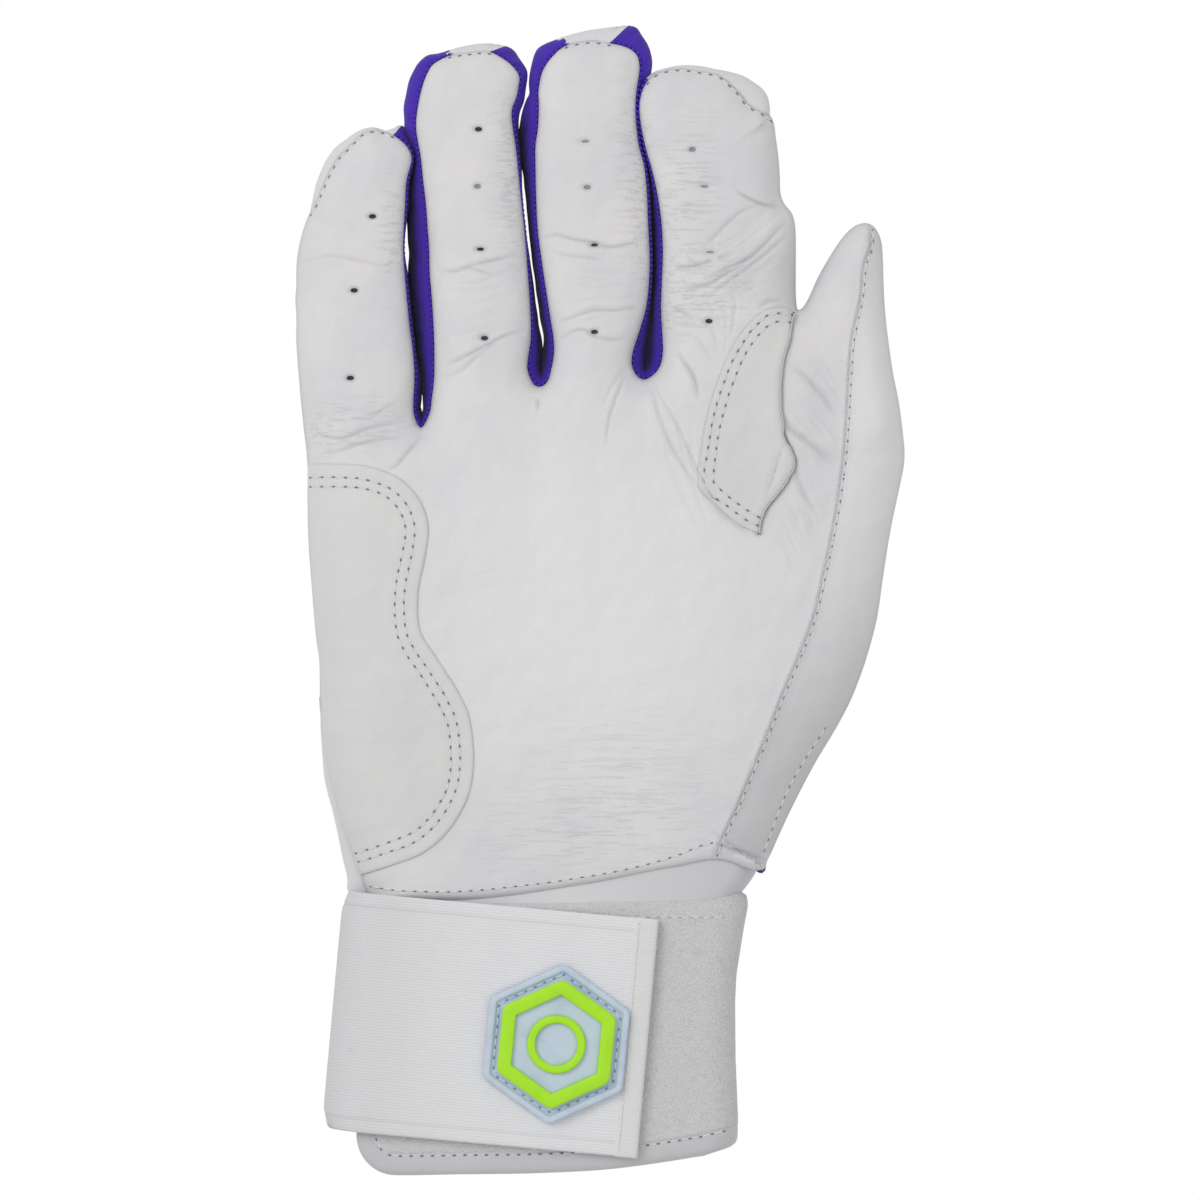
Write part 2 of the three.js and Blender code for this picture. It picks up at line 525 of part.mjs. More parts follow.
/** Plan outline of the cuff, open upwards, with its rounded free corner and its lower edge, grown by grow. */
function cuffOutline(grow) {
  const bottom = -CUFF_LENGTH - grow;
  const edge = freeEdge(-CUFF_LENGTH, grow);
  const reach = CUFF_CORNER + grow;
  const corner = Array.from({ length: CORNER_STEPS + 1 }, (_, k) => {
    const turn = Math.PI + (k / CORNER_STEPS) * (Math.PI / 2);
    return [edge + reach * (1 + Math.cos(turn)), bottom + reach * (1 + Math.sin(turn))];
  });
  const lower = CUFF_RISE_SHARES.map(([across, rise]) => [edge + across * WRIST_WIDTH, bottom + rise * CUFF_RISE]);
  return [[freeEdge(0, grow), CUT], ...corner, ...lower, [CUT, lower.at(-1)[1]], [CUT, CUT]];
}
const cuffMiddle = (cuffBottom + cuffTop) / 2;
const handClear = handSolid(-SKIN - SEAM, CUT);
const aboveWrist = prism([[-CUT, 0], [CUT, 0], [CUT, CUT], [-CUT, CUT]]);
const cuffShell = cuffSolid(0)
  .subtract(cuffHollow(0))
  .intersect(prism(cuffOutline(0)))
  .subtract(aboveWrist.subtract(handClear));

// The strap: elastic that is sewn to the back, folds round the little finger's side and closes on the palm side
const strapInside = LOOP_PILE + HOOK_PILE + 3 * SEAM;
const strapUnder = SEAM;
const strapFold = (y) => cuffLeftAt(y) - strapInside - STRAP_THICKNESS;
const foldAxis = new THREE.Vector2(foldSlope, 1).normalize();

/** Plan outline of a stretch of strap, from near to far off its fold and from low to high across it. */
function strapPlan(near, far, low = 0, high = STRAP_WIDTH) {
  const top = [strapFold(-STRAP_DROP), -STRAP_DROP];
  const at = (out, down) => [top[0] + foldAxis.y * out - foldAxis.x * down, top[1] - foldAxis.x * out - foldAxis.y * down];
  return [at(near, low), at(near, high), at(far, high), at(far, low)];
}

/** The binding: leather folded over the cuff's lower edge, clear of the strap where that is sewn to the back. */
function cuffBinding() {
  const [low, ...others] = cuffSections(0);
  const reach = BINDING + SEAM;
  const longer = [{ ...low, left: [low.left[0], low.left[1] - reach], right: [low.right[0], low.right[1] - reach] }, ...others];
  const tube = (grow) => loft(longer, grow, CUFF_SIDES, CUFF_SQUARENESS).subtract(cuffHollow(grow));
  const underStrap = prism(
    strapPlan(-CUFF_TUCK, STRAP_ROOT_REACH + SEAM, -SEAM, STRAP_WIDTH + SEAM), -CUT, cuffMiddle);
  return tube(SEAM + BINDING)
    .intersect(prism(cuffOutline(SEAM + BINDING)))
    .subtract(prism(cuffOutline(-BINDING_WIDTH)))
    .subtract(tube(SEAM).intersect(prism(cuffOutline(SEAM))))
    .subtract(layer(cuffMiddle - CUT, CUT).intersect(prism([[-CUT, CUFF_CORNER - CUFF_LENGTH], [CUT, CUFF_CORNER - CUFF_LENGTH], [CUT, CUT], [-CUT, CUT]])))
    .subtract(underStrap);
}

const LOOP_TOP = 3.2; // below the wrist hem
const loopPanel = cuffSolid(SEAM + LOOP_PILE)
  .subtract(cuffSolid(SEAM))
  .intersect(prism(cuffOutline(-BINDING_WIDTH - SEAM), cuffMiddle, CUT))
  .intersect(prism([[-CUT, -LOOP_TOP], [-CUT, -CUT], [CUT, -CUT], [CUT, -LOOP_TOP]]));

/** A band that follows the cuff outside the loop panel, from inner to outer off the cuff's palm side. */
function wrap(inner, outer) {
  const ends = [-CUFF_LENGTH - CUFF_TUCK, CUFF_TUCK];
  const tube = (side, below) => loft(
    ends.map((y) => ({
      left: [cuffLeftAt(y) - side, y],
      right: [wristRight + y * foldSlope + side, y],
      bottom: cuffBottom - below,
      top: cuffTop + side,
    })), 0, CUFF_SIDES, CUFF_SQUARENESS);
  return tube(outer, strapUnder + outer - strapInside).subtract(tube(inner, strapUnder + inner - strapInside));
}

const strapSolid = wrap(strapInside, strapInside + STRAP_THICKNESS);
const hingeHeight = (cuffBottom - strapUnder - STRAP_THICKNESS + cuffTop + strapInside + STRAP_THICKNESS) / 2;
const strapRoot = strapSolid
  .intersect(prism(strapPlan(-CUFF_TUCK, STRAP_ROOT_REACH), -CUT, hingeHeight - SEAM / 2));
const strapEnd = STRAP_REACH - TAB_THICKNESS - SEAM;
const strapBand = strapSolid.intersect(prism(strapPlan(-CUFF_TUCK, strapEnd), hingeHeight + SEAM / 2, CUT));

/** A piece that lies on the strap or under it, on a plan outline. */
const onStrap = (inner, outer, outline) => wrap(inner, outer).intersect(prism(outline, hingeHeight + CUFF_THICKNESS / 4, CUT));
const strapTop = strapInside + STRAP_THICKNESS;
const hookPad = onStrap(strapInside - SEAM - HOOK_PILE, strapInside - SEAM,
  strapPlan(STRAP_REACH - TAB_WIDTH - SEAM - HOOK_LENGTH, STRAP_REACH - TAB_WIDTH - SEAM, HOOK_MARGIN, STRAP_WIDTH - HOOK_MARGIN));
const tabStart = STRAP_REACH - TAB_WIDTH;
const endTab = onStrap(strapInside - SEAM - TAB_THICKNESS, strapTop + SEAM + TAB_THICKNESS, strapPlan(tabStart, STRAP_REACH))
  .subtract(onStrap(strapInside - SEAM, strapTop + SEAM, strapPlan(tabStart - CUT, strapEnd + SEAM)));

// The badge: a six-sided rubber plate with a coloured frame and a plain ring
const BADGE_SIDES = 6;
const RING_SIDES = 20;
const badgeCentre = (() => {
  const [a, , c] = strapPlan(STRAP_REACH - 2 * BADGE_END, STRAP_REACH);
  return [(a[0] + c[0]) / 2 - foldAxis.x * BADGE_DROP, (a[1] + c[1]) / 2 - foldAxis.y * BADGE_DROP];
})();
const badgeTurn = Math.PI / 2 - THREE.MathUtils.degToRad(FOLD_TILT_DEG);
const polygon = (radius, sides) => Array.from({ length: sides }, (_, k) => {
  const turn = badgeTurn + (2 * Math.PI * k) / sides;
  return [badgeCentre[0] + radius * Math.cos(turn), badgeCentre[1] + radius * Math.sin(turn)];
});
const badgeBase = strapTop + SEAM;
const badgeFace = badgeBase + BADGE_THICKNESS;
const frame = (outer, width, sides) =>
  onStrap(badgeFace + SEAM, badgeFace + SEAM + BADGE_RELIEF, polygon(outer, sides))
    .subtract(prism(polygon(outer - width, sides)));

const cuff = new THREE.Group();
cuff.add(
  meshOf("cuff_sleeve", cuffShell, CUFF_WHITE),
  meshOf("cuff_loop_panel", loopPanel, LOOP_GREY),
  meshOf("cuff_binding", cuffBinding(), CUFF_WHITE),
  meshOf("strap_root", strapRoot, ELASTIC_WHITE),
);

const strap = new THREE.Group();
strap.add(
  meshOf("strap_band", strapBand, ELASTIC_WHITE),
  meshOf("strap_hook_pad", hookPad, HOOK_WHITE),
  meshOf("strap_end_tab", endTab, TAPE_WHITE),
  meshOf("badge_plate", onStrap(badgeBase, badgeFace, polygon(BADGE_RADIUS, BADGE_SIDES)), RUBBER_GREY),
  meshOf("badge_frame", frame(BADGE_RADIUS - BADGE_LIP, FRAME_WIDTH, BADGE_SIDES), RUBBER_LIME),
  meshOf("badge_ring", frame(BALL_RADIUS, BALL_LINE, RING_SIDES), RUBBER_LIME),
);

const glove = new THREE.Group();
fingers.forEach((finger) => glove.add(...fingerMeshes(finger)));
glove.add(...thumbMeshes(), hand, cuff, strap);

const box = new THREE.Box3().setFromObject(glove);
const centre = box.getCenter(new THREE.Vector3());
glove.position.set(-centre.x, -centre.y, -box.min.z);

export default glove;
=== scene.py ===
"""A batting glove, palm up: leather and stretch gussets on fingers and thumb, a cuff and its strap."""

import logging
import math
from dataclasses import dataclass, field
from enum import Enum
from functools import cache
from typing import Callable

import bpy
import numpy as np
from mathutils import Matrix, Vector
from mathutils.geometry import delaunay_2d_cdt
from mathutils.kdtree import KDTree


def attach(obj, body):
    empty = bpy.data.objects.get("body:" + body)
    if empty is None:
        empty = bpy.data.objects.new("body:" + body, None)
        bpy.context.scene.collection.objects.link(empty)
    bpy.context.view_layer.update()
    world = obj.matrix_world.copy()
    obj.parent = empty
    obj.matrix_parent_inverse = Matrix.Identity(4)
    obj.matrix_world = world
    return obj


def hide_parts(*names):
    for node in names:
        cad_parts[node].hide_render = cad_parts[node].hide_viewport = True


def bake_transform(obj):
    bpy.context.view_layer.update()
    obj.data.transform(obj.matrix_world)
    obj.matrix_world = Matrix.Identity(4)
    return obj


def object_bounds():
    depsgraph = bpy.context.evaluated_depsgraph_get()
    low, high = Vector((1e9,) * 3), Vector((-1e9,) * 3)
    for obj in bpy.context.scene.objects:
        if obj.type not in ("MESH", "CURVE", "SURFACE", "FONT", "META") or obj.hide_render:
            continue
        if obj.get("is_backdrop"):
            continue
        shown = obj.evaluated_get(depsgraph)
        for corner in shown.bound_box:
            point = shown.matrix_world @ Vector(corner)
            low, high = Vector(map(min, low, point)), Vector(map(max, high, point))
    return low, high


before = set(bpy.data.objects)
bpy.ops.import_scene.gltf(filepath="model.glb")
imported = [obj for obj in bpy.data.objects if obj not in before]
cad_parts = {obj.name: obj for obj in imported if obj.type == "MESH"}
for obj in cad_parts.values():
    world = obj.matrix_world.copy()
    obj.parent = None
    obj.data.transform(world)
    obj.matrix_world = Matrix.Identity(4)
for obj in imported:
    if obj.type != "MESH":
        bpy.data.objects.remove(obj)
log = logging.getLogger("glove")
MM = 0.001
PIXEL = 0.2134
PHOTO_MIDDLE = 599.5
Array = np.ndarray
Line = tuple[tuple[float, ...], ...]
Place = Callable[[Array, float], tuple[Array, Array]]


# Lines and surfaces, in millimetres

def spot(x: float, y: float) -> tuple[float, float]:
    """A place measured in the photograph's pixels, in millimetres from its middle."""
    return round((x - PHOTO_MIDDLE) * PIXEL, 1) + 0.0, round((PHOTO_MIDDLE - y) * PIXEL, 1) + 0.0


def traced(*points: tuple[float, ...]) -> Line:
    """A line measured in the photograph's pixels, in millimetres.

    Args:
        points: the x and y of each point, or those of a seam's point and of the rim's beside it.
    Returns:
        The same points on the glove.
    """
    return tuple(sum((spot(*p[k:k + 2]) for k in range(0, len(p), 2)), ()) for p in points)


def unit(vectors: Array, floor: float = 1e-9) -> Array:
    """Vectors brought to a length of one."""
    return vectors / np.maximum(np.linalg.norm(vectors, axis=-1, keepdims=True), floor)


def left_of(line: Array) -> Array:
    """Unit vectors that point to the left of a line, at each of its points."""
    along = np.gradient(line, axis=0)
    return unit(np.stack([-along[:, 1], along[:, 0]], 1))


def length_along(points: Array) -> Array:
    """The length of a line up to each of its points."""
    return np.concatenate([[0], np.cumsum(np.linalg.norm(np.diff(points, axis=0), axis=1))])


def nearest(targets: Array, xy: Array) -> tuple[Array, Array]:
    """Finds the target that is nearest to each point.

    Args:
        targets: places from above.
        xy: the points.
    Returns:
        Which target it is, and how far away.
    """
    tree = KDTree(len(targets))
    for k, (x, y) in enumerate(targets.tolist()):
        tree.insert((x, y, 0.0), k)
    tree.balance()
    found = [tree.find((x, y, 0.0)) for x, y in xy.tolist()]
    return np.array([hit[1] for hit in found], int), np.array([hit[2] for hit in found])


def smooth_line(points: Array | Line, pitch: float, closed: bool = False) -> tuple[Array, Array]:
    """A smooth line through points, sampled evenly. A point given twice stays a corner.

    Args:
        points: the points, one row each.
        pitch: distance between samples.
        closed: whether the line returns to its first point.
    Returns:
        The samples, and for each its place among the points as a decimal index.
    """
    p = np.asarray(points, float)
    if closed:
        p = np.vstack([p, p[:1]])
    step = np.maximum(np.linalg.norm(np.diff(p, axis=0), axis=1), 1e-4) ** 0.5
    slope = np.diff(p, axis=0) / step[:, None]
    tangent = np.empty_like(p)
    weight = step[:-1] + step[1:]
    tangent[1:-1] = (slope[:-1] * step[1:, None] + slope[1:] * step[:-1, None]) / weight[:, None]
    tangent[0], tangent[-1] = slope[0], slope[-1]
    if closed:
        meet = (slope[-1] * step[0] + slope[0] * step[-1]) / (step[0] + step[-1])
        tangent[0] = tangent[-1] = meet
    u = np.linspace(0, 1, 16, endpoint=False)[None, :, None]
    a, b = p[:-1, None], p[1:, None]
    ma, mb = tangent[:-1, None] * step[:, None, None], tangent[1:, None] * step[:, None, None]
    dense = (2 * u**3 - 3 * u**2 + 1) * a + (u**3 - 2 * u**2 + u) * ma
    dense = dense + (3 * u**2 - 2 * u**3) * b + (u**3 - u**2) * mb
    dense = np.vstack([dense.reshape(-1, p.shape[1]), p[-1:]])
    index = np.append((np.arange(len(p) - 1)[:, None] + u[0, :, 0]).ravel(), len(p) - 1)
    run = length_along(dense[:, :2])
    count = max(2, int(round(run[-1] / pitch)) + 1)
    goal = np.linspace(0, run[-1], count)
    if closed:
        goal = goal[:-1]
    samples = np.stack([np.interp(goal, run, dense[:, k]) for k in range(p.shape[1])], 1)
    return samples, np.interp(goal, run, index)


def distance_to(line: Array, xy: Array, closed: bool = False) -> tuple[Array, Array]:
    """How far points are from a line.

    Args:
        line: samples of the line.
        xy: the points.
        closed: whether the line returns to its start.
    Returns:
        The distance of each point, and the decimal index of the nearest place on the line.
    """
    line = np.asarray(line, float)
    count = len(line) if closed else len(line) - 1
    starts, ends = line[:count], np.roll(line, -1, axis=0)[:count]
    near, _ = nearest((starts + ends) / 2, xy)
    best, place = np.full(len(xy), np.inf), np.zeros(len(xy))
    for shift in (-1, 0, 1):
        k = (near + shift) % count if closed else np.clip(near + shift, 0, count - 1)
        along, off = ends[k] - starts[k], xy - starts[k]
        t = np.clip((off * along).sum(1) / np.maximum((along**2).sum(1), 1e-12), 0, 1)
        gap = ((off - t[:, None] * along) ** 2).sum(1)
        better = gap < best
        best, place = np.where(better, gap, best), np.where(better, k + t, place)
    return np.sqrt(best), place


def inside(loop: Array, xy: Array) -> Array:
    """Whether points lie inside a closed loop.

    Args:
        loop: its corners.
        xy: the points.
    Returns:
        For each point, whether it does.
    """
    at_once = 4_000_000
    result = np.zeros(len(xy), bool)
    a, b = loop, np.roll(loop, -1, axis=0)
    chunk = max(1, at_once // len(loop))
    for k in range(0, len(xy), chunk):
        q = xy[k:k + chunk]
        crosses = (a[None, :, 1] > q[:, None, 1]) != (b[None, :, 1] > q[:, None, 1])
        height = np.where(b[:, 1] == a[:, 1], 1e-9, b[:, 1] - a[:, 1])
        x = (b[:, 0] - a[:, 0])[None] * (q[:, None, 1] - a[None, :, 1]) / height[None] + a[None, :, 0]
        result[k:k + chunk] = (crosses & (q[:, None, 0] < x)).sum(1) % 2 == 1
    return result


def vertex_normals(points: Array, faces: Array) -> Array:
    """Unit normals at the corners of a triangle mesh.

    Args:
        points: the corners.
        faces: the triangles.
    Returns:
        The normal at each corner.
    """
    a, b, c = (points[faces[:, k]] for k in range(3))
    across = np.cross(b - a, c - a)
    total = np.zeros_like(points)
    for k in range(3):
        np.add.at(total, faces[:, k], across)
    return unit(total, 1e-12)


def ripple(xy: Array, seed: int, scale: float) -> Array:
    """A smooth random height between about -1 and 1: nine waves of differing size and direction.

    Args:
        xy: the points.
        seed: which of the random surfaces.
        scale: size of its bumps.
    Returns:
        The height at each point.
    """
    rng = np.random.default_rng(seed)
    total = np.zeros(len(xy))
    for _ in range(9):
        turn, phase = rng.uniform(0, 2 * math.pi, 2)
        size = scale * rng.uniform(0.6, 1.7)
        along = xy[:, 0] * math.cos(turn) + xy[:, 1] * math.sin(turn)
        total += np.sin(along * 2 * math.pi / size + phase)
    return total / 4.2


class Shape:
    """Points and faces of one piece, gathered from several bodies of mesh."""

    def __init__(self) -> None:
        """Starts empty."""
        self.points: list[Array] = []
        self.normals: list[Array] = []
        self.shade: list[Array] = []
        self.crimp: list[Array] = []
        self.lay: list[Array] = []
        self.faces: list[tuple[int, ...]] = []
        self.slots: list[int] = []
        self.rims: list[bool] = []
        self.count = 0

    def add(self, points: Array, faces: Array, slot: int = 0, normals: Array | None = None,
            shade: Array | None = None, lay: Array | None = None, crimp: Array | None = None) -> None:
        """Adds points with their faces.

        Args:
            points: in millimetres.
            faces: rows of three or four indexes into points.
            slot: which of the piece's materials they take.
            normals: the shading normals, or None for the mesh's own.
            shade: how dark each point is painted, 0 to 1: mostly painted shade in creases, hollows and
                turned-away parts.
            lay: each point's place on the material before it was sewn.
            crimp: how finely wrinkled each point is, 0 to 1.
        """
        points = np.asarray(points, float)
        self.points.append(points)
        self.normals.append(np.zeros_like(points) if normals is None else normals)
        self.shade.append(np.zeros(len(points)) if shade is None else shade)
        self.crimp.append(np.zeros(len(points)) if crimp is None else crimp)
        self.lay.append(points if lay is None else lay)
        self.join(np.asarray(faces) + self.count, slot)
        self.count += len(points)

    def join(self, faces: Array, slot: int, rim: bool = False) -> None:
        """Adds faces between points that are there.

        Args:
            faces: rows of indexes into all of the shape's points.
            slot: which of the piece's materials they take.
            rim: whether they close a sheet's edge, and so keep the mesh's own normals.
        """
        self.faces.extend(map(tuple, faces.tolist()))
        self.slots.extend([slot] * len(faces))
        self.rims.extend([rim] * len(faces))

    def sheet(self, points: Array, faces: Array, thickness: float, slot: int = 0,
              normals: Array | None = None, shade: Array | None = None, lay: Array | None = None,
              crimp: Array | None = None) -> None:
        """Adds a sheet with its thickness under it, closed at its edges.

        Args:
            points: the outer side, in millimetres.
            faces: its triangles.
            thickness: of the material.
            slot: which of the piece's materials it takes.
            normals: shading normals of the outer side, or None to work them out.
            shade: how dark each point is painted, mostly as painted shade.
            lay: place on the flat material.
            crimp: how finely wrinkled each point is.
        """
        own = vertex_normals(points, faces)
        count = len(points)
        edges = np.vstack([faces[:, [0, 1]], faces[:, [1, 2]], faces[:, [2, 0]]])
        code, back = edges[:, 0] * count + edges[:, 1], edges[:, 1] * count + edges[:, 0]
        rim = edges[~np.isin(code, back)]
        both = np.vstack([points, points - own * thickness])
        keep = [None if v is None else np.concatenate([v, v]) for v in (shade, lay, crimp)]
        front = own if normals is None else normals
        shading = np.vstack([front, np.zeros_like(front)])
        base = self.count
        self.add(both, np.vstack([faces, faces[:, ::-1] + count]), slot, shading, *keep)
        quads = np.stack([rim[:, 1], rim[:, 0], rim[:, 0] + count, rim[:, 1] + count], 1) + base
        self.join(quads, slot, rim=True)

    def build(self, name: str, finishes: list[bpy.types.Material]) -> bpy.types.Object:
        """Makes the object.

        Args:
            name: the piece's name.
            finishes: its materials, by slot.
        Returns:
            The new object, in metres.
        """
        points = np.vstack(self.points)
        mesh = bpy.data.meshes.new(name)
        mesh.from_pydata((points * MM).tolist(), [], self.faces)
        mesh.polygons.foreach_set("use_smooth", [True] * len(self.faces))
        mesh.polygons.foreach_set("material_index", self.slots)
        for finish in finishes:
            mesh.materials.append(finish)
        for label, values in (("shade", self.shade), ("crimp", self.crimp)):
            attribute = mesh.attributes.new(label, "FLOAT", "POINT")
            attribute.data.foreach_set("value", np.concatenate(values).astype(np.float32))
        lay = mesh.attributes.new("lay", "FLOAT_VECTOR", "POINT")
        lay.data.foreach_set("vector", np.vstack(self.lay).astype(np.float32).ravel())
        normals = np.vstack(self.normals)
        if np.abs(normals).max() > 0:
            corner = np.empty(len(mesh.loops), np.int32)
            mesh.loops.foreach_get("vertex_index", corner)
            chosen = normals[corner]
            chosen[np.repeat(self.rims, [len(f) for f in self.faces])] = 0
            mesh.normals_split_custom_set(chosen.tolist())
        made = bpy.data.objects.new(name, mesh)
        bpy.context.scene.collection.objects.link(made)
        return made


def grid_faces(rows: int, columns: int, closed: bool = False, flip: bool = False) -> Array:
    """Triangles of a grid of points stored row by row.

    Args:
        rows: number of rows.
        columns: points in each row.
        closed: whether each row returns to its first point.
        flip: whether the faces look the other way.
    Returns:
        The triangles.
    """
    last = columns if closed else columns - 1
    r, c = np.meshgrid(np.arange(rows - 1), np.arange(last), indexing="ij")
    a, b = r * columns + c, r * columns + (c + 1) % columns
    d, e = a + columns, b + columns
    faces = np.vstack([np.stack(corners, -1).reshape(-1, 3) for corners in ([a, b, e], [a, e, d])])
    return faces[:, ::-1] if flip else faces


# The glove's edges, seen from over the palm

class Edge(Enum):
    """How the palm side's leather ends along a stretch of its outline."""

    ROLL = "rolls round to the back's own leather at the side seam"
    HOOD = "is sewn to the back's leather, which folds over towards the palm"
    GUSSET = "is sewn to a stretch gusset"
    HEM = "ends in the folded hem over the cuff"


@dataclass(frozen=True)
class Stretch:
    """A stretch of the palm side's outline.

    height is the edge's over the floor, roll how far in from it the leather is rounded, and line the seam
    with the rim beside it where that stands out.
    """

    name: str
    edge: Edge
    height: float
    roll: float
    line: Line


